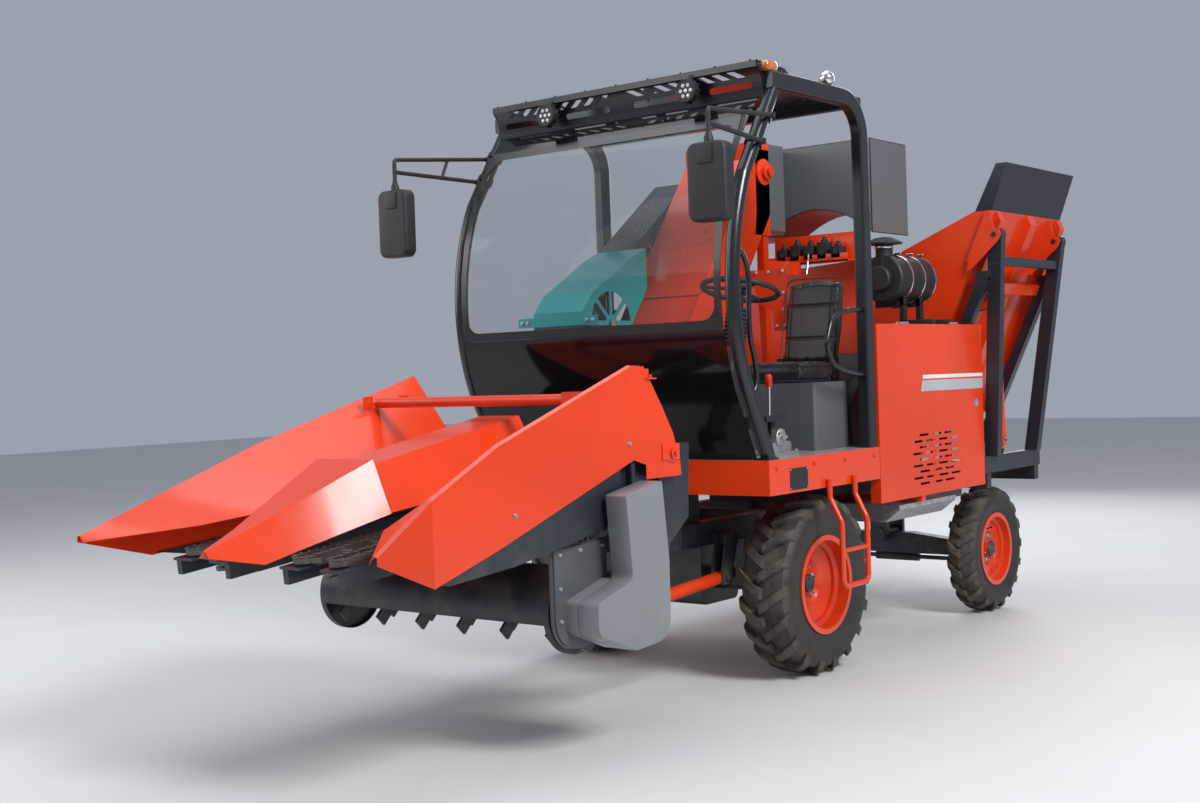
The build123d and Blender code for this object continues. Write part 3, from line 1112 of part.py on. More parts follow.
def divider_left():
    """The tall left divider: outer wall, ridge and the slope down to the chains."""
    # columns: y, wall x, wall foot z, ridge z, inner edge x, inner edge z
    rows = ((-2655, 695, 895, 930, 650, 900), (-2495, 815, 800, 1120, 560, 1000), (-2140, 815, 905, 1293, 500, 1035),
            (-1310, 815, 1180, 1577, 500, 1130), (-1225, 815, 1155, 1573, 500, 1140))
    stations = []
    for y, wall, foot, ridge, inner_x, inner_z in rows:
        stations.append((y, roof_profile([(inner_x, inner_z), (wall - 20, ridge), (wall, ridge - 6), (wall, foot)], DIVIDER_T)))
    shell = divider(stations, DIVIDER_T)
    cheek = side_prism([(-1226, 1573), (-1111, 1411), (-1027, 1280), (-981, 1150), (-975, 1094), (-1226, 1094)], 815 - DIVIDER_T, 815)
    return join([shell, cheek])


def divider_right():
    """The long right divider with its sharp nose and tall outer wall."""
    rows = ((-2951, -715, 950, 978, -672, 952), (-2560, -790, 850, 1090, -440, 990), (-2020, -790, 900, 1280, -430, 1030),
            (-1020, -790, 1100, 1566, -430, 1150))
    stations = []
    for y, wall, foot, ridge, inner_x, inner_z in rows:
        stations.append((y, roof_profile([(wall, foot), (wall, ridge - 6), (wall + 20, ridge), (inner_x, inner_z)], DIVIDER_T)))
    return divider(stations, DIVIDER_T)


def cross_tube():
    """The orange tube that ties the tops of the dividers, with its sleeve."""
    y, z = -1335, 1440
    return join([rod((-706, y, z), (690, y, z), 24), box(480, 680, y - 32, y + 32, z - 32, z + 32)])


def chopper_housing():
    """The half-round stalk chopper housing with its end plates and drive case."""
    shell = rod((-CHOPPER_HALF, CHOPPER_Y, CHOPPER_Z), (CHOPPER_HALF, CHOPPER_Y, CHOPPER_Z), CHOPPER_R + SHEET)
    shell -= rod((-CHOPPER_HALF + SHEET, CHOPPER_Y, CHOPPER_Z), (CHOPPER_HALF - SHEET, CHOPPER_Y, CHOPPER_Z), CHOPPER_R)
    shell -= box(-CHOPPER_HALF + 30, CHOPPER_HALF - 30, CHOPPER_Y - 300, CHOPPER_Y + 300, CHOPPER_Z - 300, CHOPPER_Z - 40)
    case = side_prism([(CHOPPER_Y - 150, CHOPPER_Z + 20), (CHOPPER_Y - 160, 850), (CHOPPER_Y + 100, 860), (CHOPPER_Y + 150, CHOPPER_Z + 20),
                       (CHOPPER_Y + 120, CHOPPER_Z - 110), (CHOPPER_Y, CHOPPER_Z - 165), (CHOPPER_Y - 120, CHOPPER_Z - 110)],
                      CHOPPER_HALF, CHOPPER_HALF + 60)
    shape = join([shell, case])
    return shape - rod((-800, CHOPPER_Y, CHOPPER_Z), (CHOPPER_HALF + 30, CHOPPER_Y, CHOPPER_Z), 30 + RUN_FIT)


def chopper_rotor():
    """The chopper's shaft with rows of swinging knives."""
    pieces = [rod((-CHOPPER_HALF + 8, CHOPPER_Y, CHOPPER_Z), (CHOPPER_HALF - 8, CHOPPER_Y, CHOPPER_Z), 48)]
    pieces.append(rod((-CHOPPER_HALF - 30, CHOPPER_Y, CHOPPER_Z), (CHOPPER_HALF + 28, CHOPPER_Y, CHOPPER_Z), 30))
    for k in range(11):
        x = -CHOPPER_HALF + 70 + k * 125
        knife = Pos(x, CHOPPER_Y, CHOPPER_Z) * Rot(k * 90 % 180 + 45, 0, 0) * Box(14, 2 * CHOPPER_R - 40, 60)
        pieces.append(knife)
    return join(pieces)


def chain_guard():
    """The light grey guard over the chopper's drive, round at its foot."""
    x0 = CHOPPER_HALF + 60 + SEAT
    x1 = 945.0
    outline = [(-1495, 1055), (-1235, 1100), (-1235, 640), (-1262, 540), (-1330, 470), (-1400, 445), (-1640, 480),
               (-1715, 530), (-1735, 600), (-1715, 655), (-1660, 690), (-1510, 720)]
    outer = side_prism(outline, x0, x1)
    centre_y, centre_z = -1450.0, 760.0
    inside = [(centre_y + (y - centre_y) * 0.97, centre_z + (z - centre_z) * 0.985) for y, z in outline]
    return outer - side_prism(inside, x0 - 1, x1 - SHEET)


tip_barrel, tip_rod = cylinder_pair((BEAM_X, TIP_Y, TIP_FOOT_Z), (TIP_EYE_X, TIP_Y, TIP_EYE_Z), (0, 1, 0),
                                    TIP_BARREL_R, TIP_ROD_R, 90, 0)
lift_barrel, lift_rod = cylinder_pair((LIFT_X,) + LIFT_FOOT, (LIFT_X,) + LIFT_EYE, (1, 0, 0),
                                      LIFT_BARREL_R, LIFT_ROD_R, 260, LIFT_STROKE)

parts = {
    "chassis_frame": chassis_frame(),
    "drive_axle": drive_axle(),
    "steer_axle": steer_axle(),
    "tie_rod": tie_rod(),
    "platform": platform(),
    "step_ladder": step_ladder(),
    "cab_frame": cab_frame(),
    "roof": roof(),
    "windshield": windshield(),
    "front_panel": front_panel(),
    "mirrors": mirrors(),
    "lamps": lamps(),
    "seat_box": seat_box(),
    "seat": seat(),
    "steering_column": steering_column(),
    "engine": engine(),
    "engine_panels": engine_panels(),
    "air_cleaner": air_cleaner(),
    "belly_tank": belly_tank(),
    "ear_elevator": ear_elevator(),
    "chute_hood": chute_hood(),
    "fan_housing": fan_housing(),
    "fan_base": fan_base(),
    "fan_rotor": fan_rotor(),
    "bin": bin_body(),
    "bin_lip": bin_lip(),
    "bin_frame": bin_frame(),
    "tip_cylinder": tip_barrel,
    "tip_cylinder_rod": tip_rod,
    "header_frame": header_frame(),
    "deck_plates": deck_plates(),
    "divider_left": divider_left(),
    "divider_centre": divider_centre(),
    "divider_right": divider_right(),
    "cross_tube": cross_tube(),
    "gathering_chains": gathering_chains(),
    "stalk_rolls": stalk_rolls(),
    "ear_auger": ear_auger(),
    "chopper_housing": chopper_housing(),
    "chopper_rotor": chopper_rotor(),
    "chain_guard": chain_guard(),
    "lift_cylinder": lift_barrel,
    "lift_cylinder_rod": lift_rod,
}
for name, side in SIDES:
    parts["front_tyre_" + name] = tyre(side, FRONT_TRACK, FRONT_AXLE_Y, FRONT_TYRE_D, FRONT_TYRE_W, FRONT_RIM_D, FRONT_LUG_H, FRONT_LUGS)
    parts["rear_tyre_" + name] = tyre(side, REAR_TRACK, REAR_AXLE_Y, REAR_TYRE_D, REAR_TYRE_W, REAR_RIM_D, REAR_LUG_H, REAR_LUGS)
    parts["front_rim_" + name] = front_rim(side)
    parts["rear_rim_" + name] = rear_rim(side)
    parts["knuckle_" + name] = knuckle(side)

os.makedirs("parts", exist_ok=True)
for name, shape in parts.items():
    export_step(shape, "parts/" + name + ".step")
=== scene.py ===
import math

import bmesh
import bpy
from mathutils import Matrix, Vector


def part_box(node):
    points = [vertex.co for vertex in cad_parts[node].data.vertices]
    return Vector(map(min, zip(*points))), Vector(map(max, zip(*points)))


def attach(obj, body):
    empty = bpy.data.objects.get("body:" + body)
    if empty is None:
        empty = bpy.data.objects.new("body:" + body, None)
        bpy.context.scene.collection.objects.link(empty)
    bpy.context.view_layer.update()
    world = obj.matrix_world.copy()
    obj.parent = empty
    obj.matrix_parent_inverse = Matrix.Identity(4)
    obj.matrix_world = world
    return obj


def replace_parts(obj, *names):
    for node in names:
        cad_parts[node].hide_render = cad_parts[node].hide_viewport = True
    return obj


bl_info = {
    "name": "Corn Combine Looks",
    "version": (1, 0, 0),
    "blender": (4, 5, 0),
    "location": "View3D > Sidebar > Corn Combine",
    "description": "Finishes, tyres, roof, covers, seat, lamps and small fittings of a two-row corn combine",
    "category": "Object",
}

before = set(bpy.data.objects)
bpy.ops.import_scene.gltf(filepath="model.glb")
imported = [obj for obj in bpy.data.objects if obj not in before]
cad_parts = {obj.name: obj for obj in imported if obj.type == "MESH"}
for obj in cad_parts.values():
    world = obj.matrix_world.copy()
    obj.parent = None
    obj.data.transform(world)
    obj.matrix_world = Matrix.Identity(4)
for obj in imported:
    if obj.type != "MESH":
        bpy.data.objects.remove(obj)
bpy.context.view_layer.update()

# the machine faces -Y and its left side is +X
UP, LEFT, AHEAD, BACK = Vector((0, 0, 1)), Vector((1, 0, 0)), Vector((0, -1, 0)), Vector((0, 1, 0))
SIDES = (("left", 1), ("right", -1))

# places and sizes in metres that more than one operator uses
AXLES = {"front": (0.265, 0.450), "rear": (2.415, 0.3825)}
ROOF_TOP, VISOR_FRONT = 2.985, -0.298
LAMP_X, LAMP_Z, LAMP_BACK, LAMP_FACE = (-0.428, 0.462), 2.887, -0.2983, -0.3413
BALL_LAMP = Vector((0.85, 0.324, 2.9743))
MIRRORS = (("left", 1, (0.998, -0.950, 2.348)), ("right", -1, (-0.924, -0.955, 2.337)))
ELEVATOR_RIGHT, ELEVATOR_LEFT = -0.470, 0.010
# how far the elevator's front runs back for each metre of height, and one of its points in y and z
ELEVATOR_RUN, ELEVATOR_Y, ELEVATOR_Z = 0.737, 0.235, 1.755
CLEANER_X, CLEANER_Z = 0.620, 2.018
# the windscreen's centre line at its foot, middle and top, as y and z
SCREEN = ((-0.490, 1.449), (-0.580, 1.930), (-0.465, 2.440))


class CombineSizes(bpy.types.PropertyGroup):
    """Sizes, counts and light that can be changed from the sidebar."""

    bolt_across: bpy.props.FloatProperty(
        name="Bolt head", description="Width of a fan bolt's head", default=0.018, unit="LENGTH")
    lug_count: bpy.props.IntProperty(
        name="Lugs", description="Bar lugs in each of a tyre's two rows", default=18, min=3)
    link_count: bpy.props.IntProperty(
        name="Chain links", description="Link plates of each gathering chain", default=72, min=8)
    peel: bpy.props.FloatProperty(
        name="Paint ripple", description="Strength of the ripple in the gloss paint", default=0.12)
    key_power: bpy.props.FloatProperty(
        name="Key light", description="Power of the strongest light", default=900.0, unit="POWER")


class CombineColours(bpy.types.PropertyGroup):
    """Colours that can be changed from the sidebar."""

    orange: bpy.props.FloatVectorProperty(
        name="Orange", description="The machine's main paint",
        subtype="COLOR", size=3, default=(0.74, 0.046, 0.005))
    frame_blue: bpy.props.FloatVectorProperty(
        name="Frame", description="Blue-black paint of the frames",
        subtype="COLOR", size=3, default=(0.012, 0.017, 0.026))
    cab_black: bpy.props.FloatVectorProperty(
        name="Cab", description="Satin black of the cab",
        subtype="COLOR", size=3, default=(0.010, 0.011, 0.014))
    sheet_grey: bpy.props.FloatVectorProperty(
        name="Sheet grey", description="Light grey of the guard",
        subtype="COLOR", size=3, default=(0.20, 0.215, 0.235))
    fan_turquoise: bpy.props.FloatVectorProperty(
        name="Fan", description="Turquoise of the fan housing",
        subtype="COLOR", size=3, default=(0.012, 0.40, 0.41))
    rubber: bpy.props.FloatVectorProperty(
        name="Rubber", description="Tyre rubber",
        subtype="COLOR", size=3, default=(0.022, 0.021, 0.020))
    dust: bpy.props.FloatVectorProperty(
        name="Dust", description="Dry dust on the tyres and low sheets",
        subtype="COLOR", size=3, default=(0.19, 0.155, 0.115))


def sizes():
    return bpy.context.scene.combine_sizes


def colour_of(key):
    return tuple(getattr(bpy.context.scene.combine_colours, key))


class Value:
    """A shader socket that can stand in plain arithmetic."""

    def __init__(self, finish, socket):
        self.finish = finish
        self.socket = socket

    def _math(self, operation, *values):
        return self.finish.add("ShaderNodeMath", {"operation": operation}, dict(enumerate(values)))

    def __add__(self, other):
        return self._math("ADD", self, other)

    def __radd__(self, other):
        return self._math("ADD", other, self)

    def __sub__(self, other):
        return self._math("SUBTRACT", self, other)

    def __rsub__(self, other):
        return self._math("SUBTRACT", other, self)

    def __mul__(self, other):
        return self._math("MULTIPLY", self, other)

    def __rmul__(self, other):
        return self._math("MULTIPLY", other, self)

    def __pow__(self, other):
        return self._math("POWER", self, other)

    def at_most(self, other):
        return self._math("MINIMUM", self, other)

    def sine(self):
        return self._math("SINE", self)

    def step(self, low, high):
        """0 below low, 1 above high, and smooth between them."""
        return self.finish.add("ShaderNodeMapRange", {"interpolation_type": "SMOOTHSTEP"},
                               {"Value": self, "From Min": low, "From Max": high})


class Finish:
    """One material, built on a Principled shader."""

    def __init__(self, name, colour, roughness, metallic=0.0, **constants):
        self.material = bpy.data.materials.new(name)
        self.material.use_nodes = True
        self.tree = self.material.node_tree
        self.shader = self.tree.nodes["Principled BSDF"]
        self.shader.inputs["Base Color"].default_value = (*colour, 1)
        self.shader.inputs["Roughness"].default_value = roughness
        self.shader.inputs["Metallic"].default_value = metallic
        for socket, value in constants.items():
            self.shader.inputs[socket.replace("_", " ")].default_value = value
        self._place = None

    def add(self, kind, settings=None, values=None, output=0):
        """A node of this type, with its settings first and then its sockets' values or links."""
        node = self.tree.nodes.new(kind)
        for key, value in (settings or {}).items():
            setattr(node, key, value)
        for key, value in (values or {}).items():
            if isinstance(value, Value):
                self.tree.links.new(value.socket, node.inputs[key])
            else:
                node.inputs[key].default_value = value
        return Value(self, node.outputs[output])

    def place(self):
        """The object's own coordinates, in metres."""
        if self._place is None:
            self._place = self.add("ShaderNodeTexCoord", output="Object")
        return self._place

    def facing(self):
        """The surface's direction in the object's own coordinates."""
        return self.add("ShaderNodeTexCoord", output="Normal")

    def part(self, vector, axis):
        return self.add("ShaderNodeSeparateXYZ", None, {0: vector}, output="XYZ".index(axis))

    def noise(self, scale, detail, rough, stretch=None):
        where = self.place()
        if stretch:
            where = self.add("ShaderNodeVectorMath", {"operation": "MULTIPLY"}, {0: where, 1: stretch})
        return self.add("ShaderNodeTexNoise", None,
                        {"Vector": where, "Scale": scale, "Detail": detail, "Roughness": rough})

    def cells(self, scale, output=0):
        return self.add("ShaderNodeTexVoronoi", None, {"Vector": self.place(), "Scale": scale}, output)

    def mix(self, mask, first, second):
        """A colour between two colours."""
        first, second = (c if isinstance(c, Value) else (*c, 1) for c in (first, second))
        return self.add("ShaderNodeMix", {"data_type": "RGBA"}, {0: mask, 6: first, 7: second}, output=2)

    def feed(self, socket, value):
        self.tree.links.new(value.socket, self.shader.inputs[socket])

    def bump(self, height, strength, distance):
        self.feed("Normal", self.add("ShaderNodeBump", None,
                                     {"Height": height, "Strength": strength, "Distance": distance}))


def gloss_sheet(name, colour):
    return Finish(name, colour, 0.08, Specular_IOR_Level=0.35).material


def silvered_glass(name, colour):
    return Finish(name, colour, 0.03, 1.0).material


def gloss_paint(name, colour, roughness=0.30, coat=0.35, dust=0.16):
    """Sprayed gloss paint, a little cloudy, with dust that lies thicker towards the ground."""
    finish = Finish(name, colour, roughness, Coat_Weight=coat, Coat_Roughness=0.12, Specular_IOR_Level=0.35)
    shade = finish.noise(1.7, 4.0, 0.6)
    cloudy = finish.mix(shade.step(0.3, 0.75), tuple(0.90 * c for c in colour),
                        tuple(min(1, 1.06 * c) for c in colour))
    z = finish.part(finish.place(), "Z")
    speckle = finish.noise(70.0, 5.0, 0.75).step(0.52, 0.72)
    drift = finish.noise(4.0, 6.0, 0.65).step(0.40, 0.75)
    mask = ((1 - z.step(0.15, 1.2)) * (drift * 0.55 + speckle * 0.45) * dust).at_most(1.0)
    finish.feed("Base Color", finish.mix(mask, cloudy, colour_of("dust")))
    rub = finish.noise(14.0, 5.0, 0.6).step(0.45, 0.8)
    finish.feed("Roughness", roughness + rub * 0.07 + mask * 0.4)
    finish.bump(finish.noise(260.0, 2.0, 0.5), sizes().peel, 0.0006)
    return finish.material


def satin_paint(name, colour, roughness, dust, coat):
    """Satin paint with light scuffs, and dust on its low parts."""
    finish = Finish(name, colour, roughness, Coat_Weight=coat, Coat_Roughness=0.2)
    z = finish.part(finish.place(), "Z")
    scuff = finish.noise(26.0, 8.0, 0.7).step(0.55, 0.80)
    worn = finish.mix(scuff * 0.30, colour, tuple(c * 0.6 + 0.035 for c in colour))
    drift = finish.noise(7.0, 6.0, 0.65).step(0.35, 0.8)
    mask = ((1 - z.step(0.2, 1.3)) * drift * dust).at_most(1.0)
    finish.feed("Base Color", finish.mix(mask, worn, tuple(0.8 * c for c in colour_of("dust"))))
    finish.feed("Roughness", roughness + scuff * 0.12 + mask * 0.35)
    finish.bump(finish.noise(420.0, 2.0, 0.5), 0.14, 0.0005)
    return finish.material


def deck_paint(name, orange):
    """Orange edge beam with a light grey, ribbed deck on top of it."""
    finish = Finish(name, orange, 0.24, Coat_Weight=0.6, Coat_Roughness=0.09)
    top = finish.part(finish.facing(), "Z").step(0.6, 0.8)
    grime = finish.noise(9.0, 6.0, 0.65).step(0.35, 0.75)
    deck = finish.mix(grime, (0.34, 0.35, 0.36), (0.20, 0.19, 0.175))
    finish.feed("Base Color", finish.mix(top, orange, deck))
    finish.feed("Roughness", 0.26 + top * 0.30)
    x, y = finish.part(finish.place(), "X"), finish.part(finish.place(), "Y")
    ribs_per_metre = 190.0
    tread, cross = ((x + y) * ribs_per_metre).sine(), ((x - y) * ribs_per_metre).sine()
    finish.bump((tread * cross).step(0.35, 0.7) * top, 0.5, 0.002)
    return finish.material


def tyre_rubber(name, axle, tread_from, tread_to):
    """Rubber with dry dust on the tread and a fainter film on the side walls."""
    rubber = colour_of("rubber")
    finish = Finish(name, rubber, 0.62, Specular_IOR_Level=0.4)
    y = finish.part(finish.place(), "Y") - axle[0]
    z = finish.part(finish.place(), "Z") - axle[1]
    reach = (y * y + z * z) ** 0.5
    tread = reach.step(tread_from, tread_to)
    drift = finish.noise(11.0, 7.0, 0.68).step(0.30, 0.72)
    fine = finish.noise(160.0, 4.0, 0.7).step(0.4, 0.7)
    film = (0.10 + tread * 0.62) * (drift * 0.75 + fine * 0.35)
    finish.feed("Base Color", finish.mix(film.at_most(1.0), rubber, colour_of("dust")))
    finish.feed("Roughness", 0.55 + film * 0.35)
    wall = (1 - tread) * (reach * 900.0).sine() * 0.12
    finish.bump(finish.noise(240.0, 5.0, 0.6) + wall, 0.32, 0.0012)
    return finish.material


def bare_steel(name, colour=(0.42, 0.41, 0.39), roughness=0.34, rust=0.25):
    """Rolled steel with streaks and spots of rust."""
    finish = Finish(name, colour, roughness, 1.0)
    streak = finish.noise(60.0, 6.0, 0.6, stretch=(1.0, 0.25, 1.0))
    spots = finish.noise(24.0, 8.0, 0.75).step(0.52, 0.74) * rust
    finish.feed("Base Color", finish.mix(spots, colour, (0.16, 0.075, 0.035)))
    finish.feed("Roughness", roughness + streak * 0.16 + spots * 0.4)
    finish.feed("Metallic", 1 - spots * 0.8)
    finish.bump(streak, 0.12, 0.0005)
    return finish.material


def polished_rod(name):
    finish = Finish(name, (0.72, 0.72, 0.73), 0.12, 1.0)
    streak = finish.noise(300.0, 3.0, 0.5, stretch=(1.0, 1.0, 0.05))
    finish.feed("Roughness", 0.10 + streak * 0.10)
    return finish.material


def galvanised(name):
    finish = Finish(name, (0.50, 0.52, 0.53), 0.45, 0.75)
    grey = finish.add("ShaderNodeRGBToBW", None, {0: finish.cells(55.0, "Color")})
    finish.feed("Base Color", finish.mix(grey, (0.36, 0.37, 0.385), (0.56, 0.58, 0.59)))
    finish.feed("Roughness", 0.38 + grey * 0.2)
    return finish.material


def cast_metal(name, colour):
    """Rough dark castings with oily patches."""
    finish = Finish(name, colour, 0.55, 0.35)
    oil = finish.noise(18.0, 7.0, 0.7).step(0.5, 0.75)
    finish.feed("Base Color", finish.mix(oil, colour, (0.03, 0.024, 0.018)))
    finish.feed("Roughness", 0.62 - oil * 0.25)
    finish.bump(finish.noise(170.0, 4.0, 0.6), 0.4, 0.0015)
    return finish.material


def clear_glass(name):
    finish = Finish(name, (0.10, 0.13, 0.14), 0.02, Specular_IOR_Level=0.5)
    haze = finish.noise(3.0, 5.0, 0.6)
    finish.feed("Alpha", 0.10 + haze * 0.08)
    finish.feed("Roughness", 0.02 + haze * 0.03)
    return finish.material


def moulded_plastic(name, colour, roughness=0.5):
    finish = Finish(name, colour, roughness)
    finish.feed("Roughness", roughness + finish.noise(40.0, 4.0, 0.6) * 0.12)
    finish.bump(finish.noise(700.0, 2.0, 0.5), 0.25, 0.0004)
    return finish.material


def seat_vinyl(name, colour):
    """Black vinyl with a fine grain and soft creases, and lighter, rougher patches of painted sheen for the
    clear wrap over it.
    """
    finish = Finish(name, colour, 0.38, Coat_Weight=0.25, Coat_Roughness=0.25)
    grain = finish.cells(420.0)
    crease = finish.noise(16.0, 5.0, 0.6, stretch=(1.0, 1.6, 0.6))
    # lighter patches: the clear wrap over the vinyl, its sheen painted into the colour as painted highlight
    film = finish.noise(6.0, 6.0, 0.6).step(0.5, 0.8) * 0.35
    finish.feed("Base Color", finish.mix(film, colour, (0.07, 0.066, 0.06)))
    finish.feed("Roughness", 0.34 + grain * 0.2 + film * 0.3)
    finish.bump(grain * 0.5 + crease * 0.8, 0.35, 0.0015)
    return finish.material


def lamp_glass(name, colour):
    """Lamp plastic with a pattern of small lenses."""
    finish = Finish(name, colour, 0.08, Coat_Weight=1.0, Coat_Roughness=0.03)
    ring = finish.cells(70.0)
    finish.feed("Base Color", finish.mix(ring.step(0.1, 0.6), colour, tuple(0.55 * c for c in colour)))
    finish.bump(ring, 0.3, 0.002)
    return finish.material


# finish: slot, maker, material's name, its colour or the key of one, and the maker's other values
FINISHES = {
    "orange": ("orange_paint", gloss_paint, "orange_paint", "orange"),
    "frame": ("dark_paint", satin_paint, "frame_paint", "frame_blue", 0.38, 0.6, 0.15),
    "cab": ("black_paint", satin_paint, "cab_paint", "cab_black", 0.24, 0.0, 0.2),
    "panel": (None, gloss_sheet, "panel_gloss", (0.006, 0.006, 0.007)),
    "grey": ("grey_paint", satin_paint, "grey_paint", "sheet_grey", 0.36, 0.3, 0.2),
    "grey_mid": ("grey_paint", satin_paint, "grey_mid_paint", (0.105, 0.112, 0.122), 0.38, 0.1, 0.1),
    "grey_dark": ("dark_paint", satin_paint, "grey_dark_paint", (0.075, 0.082, 0.092), 0.34, 0.3, 0.2),
    "turquoise": (None, gloss_paint, "turquoise_paint", "fan_turquoise", 0.3, 0.4, 0.0),
    "deck": (None, deck_paint, "deck_paint", "orange"),
    "silver": ("grey_paint", gloss_paint, "silver_stripe", (0.45, 0.46, 0.48), 0.3, 0.3, 0.0),
    "white": ("grey_paint", gloss_paint, "white_stripe", (0.78, 0.78, 0.77), 0.3, 0.3, 0.0),
    "front_rubber": ("tyre", tyre_rubber, "front_tyre_rubber", AXLES["front"], 0.36, 0.43),
    "rear_rubber": ("tyre", tyre_rubber, "rear_tyre_rubber", AXLES["rear"], 0.30, 0.365),
    "steel": ("bare_steel", bare_steel, "bare_steel"),
    "chain": ("bare_steel", bare_steel, "chain_steel", (0.16, 0.15, 0.14), 0.42, 0.30),
    "cast_light": ("bare_steel", bare_steel, "cast_light", (0.55, 0.55, 0.54), 0.42, 0.10),
    "rod": ("rod_chrome", polished_rod, "polished_rod"),
    "mirror": ("rod_chrome", silvered_glass, "mirror_glass", (0.85, 0.87, 0.88)),
    "zinc": ("galvanised", galvanised, "zinc_sheet"),
    "iron": (None, cast_metal, "cast_iron", (0.055, 0.058, 0.062)),
    "glass": (None, clear_glass, "cab_glass"),
    "plastic": ("black_plastic", moulded_plastic, "black_plastic", (0.014, 0.014, 0.015)),
    "red_plastic": ("orange_paint", moulded_plastic, "red_plastic", (0.55, 0.012, 0.008), 0.35),
    "vinyl": ("seat_cover", seat_vinyl, "seat_vinyl", (0.016, 0.016, 0.018)),
    "lens": ("lamp_plastic", lamp_glass, "lamp_lens", (0.86, 0.88, 0.90)),
    "amber": ("lamp_plastic", lamp_glass, "amber_lens", (0.75, 0.20, 0.02)),
}

# finish: the CAD nodes that have it
NODE_FINISHES = {
    "frame": "chassis_frame drive_axle steer_axle tie_rod knuckle_left knuckle_right fan_base bin_lip "
             "bin_frame header_frame deck_plates chopper_housing chopper_rotor",
    "orange": "step_ladder engine_panels ear_elevator bin tip_cylinder divider_left divider_centre "
              "divider_right cross_tube lift_cylinder front_rim_left front_rim_right "
              "rear_rim_left rear_rim_right",
    "plastic": "mirrors lamps steering_column air_cleaner", "cab": "cab_frame roof", "panel": "front_panel",
    "chain": "gathering_chains stalk_rolls ear_auger", "grey": "chute_hood chain_guard",
    "grey_mid": "seat_box", "deck": "platform", "glass": "windshield", "vinyl": "seat", "iron": "engine",
    "zinc": "belly_tank", "turquoise": "fan_housing", "steel": "fan_rotor",
    "rod": "tip_cylinder_rod lift_cylinder_rod",
    "front_rubber": "front_tyre_left front_tyre_right", "rear_rubber": "rear_tyre_left rear_tyre_right",
}


MADE = {}


def dress(obj, look):
    """Gives an object a finish, which is made the first time a piece asks for it."""
    if look not in MADE:
        maker, name, *values = FINISHES[look][1:]
        MADE[look] = maker(name, *(colour_of(v) if isinstance(v, str) else v for v in values))
    obj.data.materials.clear()
    obj.data.materials.append(MADE[look])


def settle(obj, look, body="chassis"):
    """Puts a finished piece's place into its mesh, and gives it its finish and body."""
    obj.data.transform(obj.matrix_world)
    obj.matrix_world = Matrix.Identity(4)
    dress(obj, look)
    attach(obj, body)
    return obj


def link_in(name, data):
    obj = bpy.data.objects.new(name, data)
    bpy.context.scene.collection.objects.link(obj)
    return obj


def pick(*objects):
    """Selects these objects alone, with the first one active."""
    bpy.ops.object.select_all(action="DESELECT")
    for obj in objects:
        obj.select_set(True)
    bpy.context.view_layer.objects.active = objects[0]


def joined(objects):
    pick(*objects)
    bpy.ops.object.join()
    return objects[0]


def apply_modifier(obj, kind, **settings):
    modifier = obj.modifiers.new(kind, kind)
    for key, value in settings.items():
        setattr(modifier, key, value)
    pick(obj)
    bpy.ops.object.modifier_apply(modifier=kind)


def mesh_from(name, bm):
    mesh = bpy.data.meshes.new(name)
    bm.to_mesh(mesh)
    bm.free()
    return mesh


def piece(name, bm, look, smooth=None, body="chassis"):
    """An object from a bmesh that already stands in the machine's own place."""
    bmesh.ops.recalc_face_normals(bm, faces=bm.faces)
    obj = link_in(name, mesh_from(name, bm))
    if smooth is not None:
        pick(obj)
        bpy.ops.object.shade_smooth_by_angle(angle=math.radians(smooth))
    return settle(obj, look, body)


def block(bm, first, second, edge=0.0):
    """A box between two corners, its edges rounded where a width is given."""
    pairs = [sorted(pair) for pair in zip(first, second)]
    size, middle = [b - a for a, b in pairs], [(a + b) / 2 for a, b in pairs]
    made = bmesh.ops.create_cube(bm, size=1, matrix=Matrix.Translation(middle) @ Matrix.Diagonal((*size, 1)))
    if edge:
        edges = {e for v in made["verts"] for e in v.link_edges}
        bmesh.ops.bevel(bm, geom=list(edges), offset=edge, segments=2, affect="EDGES", profile=0.6)


def aim(point, direction):
    """A matrix at a point whose Z axis looks along a direction."""
    return Matrix.Translation(point) @ Vector(direction).to_track_quat("Z", "Y").to_matrix().to_4x4()


def lathe(bm, place, profile, steps):
    """A body turned round its Z axis; the profile is radius and height, from one end to the other."""
    rings = []
    for radius, height in profile:
        turns = [2 * math.pi * k / steps for k in range(steps)] if radius > 1e-6 else [0.0]
        rings.append([bm.verts.new(place @ Vector((radius * math.cos(t), radius * math.sin(t), height)))
                      for t in turns])
    for first, second in zip(rings, rings[1:]):
        for k in range(steps):
            after = (k + 1) % steps
            if len(first) == 1 and len(second) > 1:
                bm.faces.new((first[0], second[k], second[after]))
            elif len(second) == 1 and len(first) > 1:
                bm.faces.new((first[k], second[0], first[after]))
            elif len(first) > 1:
                bm.faces.new((first[k], second[k], second[after], first[after]))
    for ring in (rings[0], rings[-1]):
        if len(ring) > 1:
            bm.faces.new(ring)


def loops(bm, rows, close=True):
    """A skin through rows of points with the same count; the first and last row are filled."""
    made = [[bm.verts.new(p) for p in row] for row in rows]
    for first, second in zip(made, made[1:]):
        for k in range(len(first)):
            after = (k + 1) % len(first)
            bm.faces.new((first[k], second[k], second[after], first[after]))
    if close:
        bm.faces.new(made[0])
        bm.faces.new(made[-1])


def ring_skin(bm, rows):
    """A skin through rows of points that goes round and meets its first row again."""
    loops(bm, rows + rows[:1], close=False)
    bmesh.ops.remove_doubles(bm, verts=bm.verts, dist=0.0001)


def prism(bm, axis, points, start, end):
    """An outline on the plane across an axis, drawn out along that axis."""
    at = "XYZ".index(axis)
    loops(bm, [[(*p[:at], place, *p[at:]) for p in map(tuple, points)] for place in sorted((start, end))])


def cube(bm, place, size):
    bmesh.ops.create_cube(bm, size=1, matrix=place @ Matrix.Diagonal((*size, 1)))


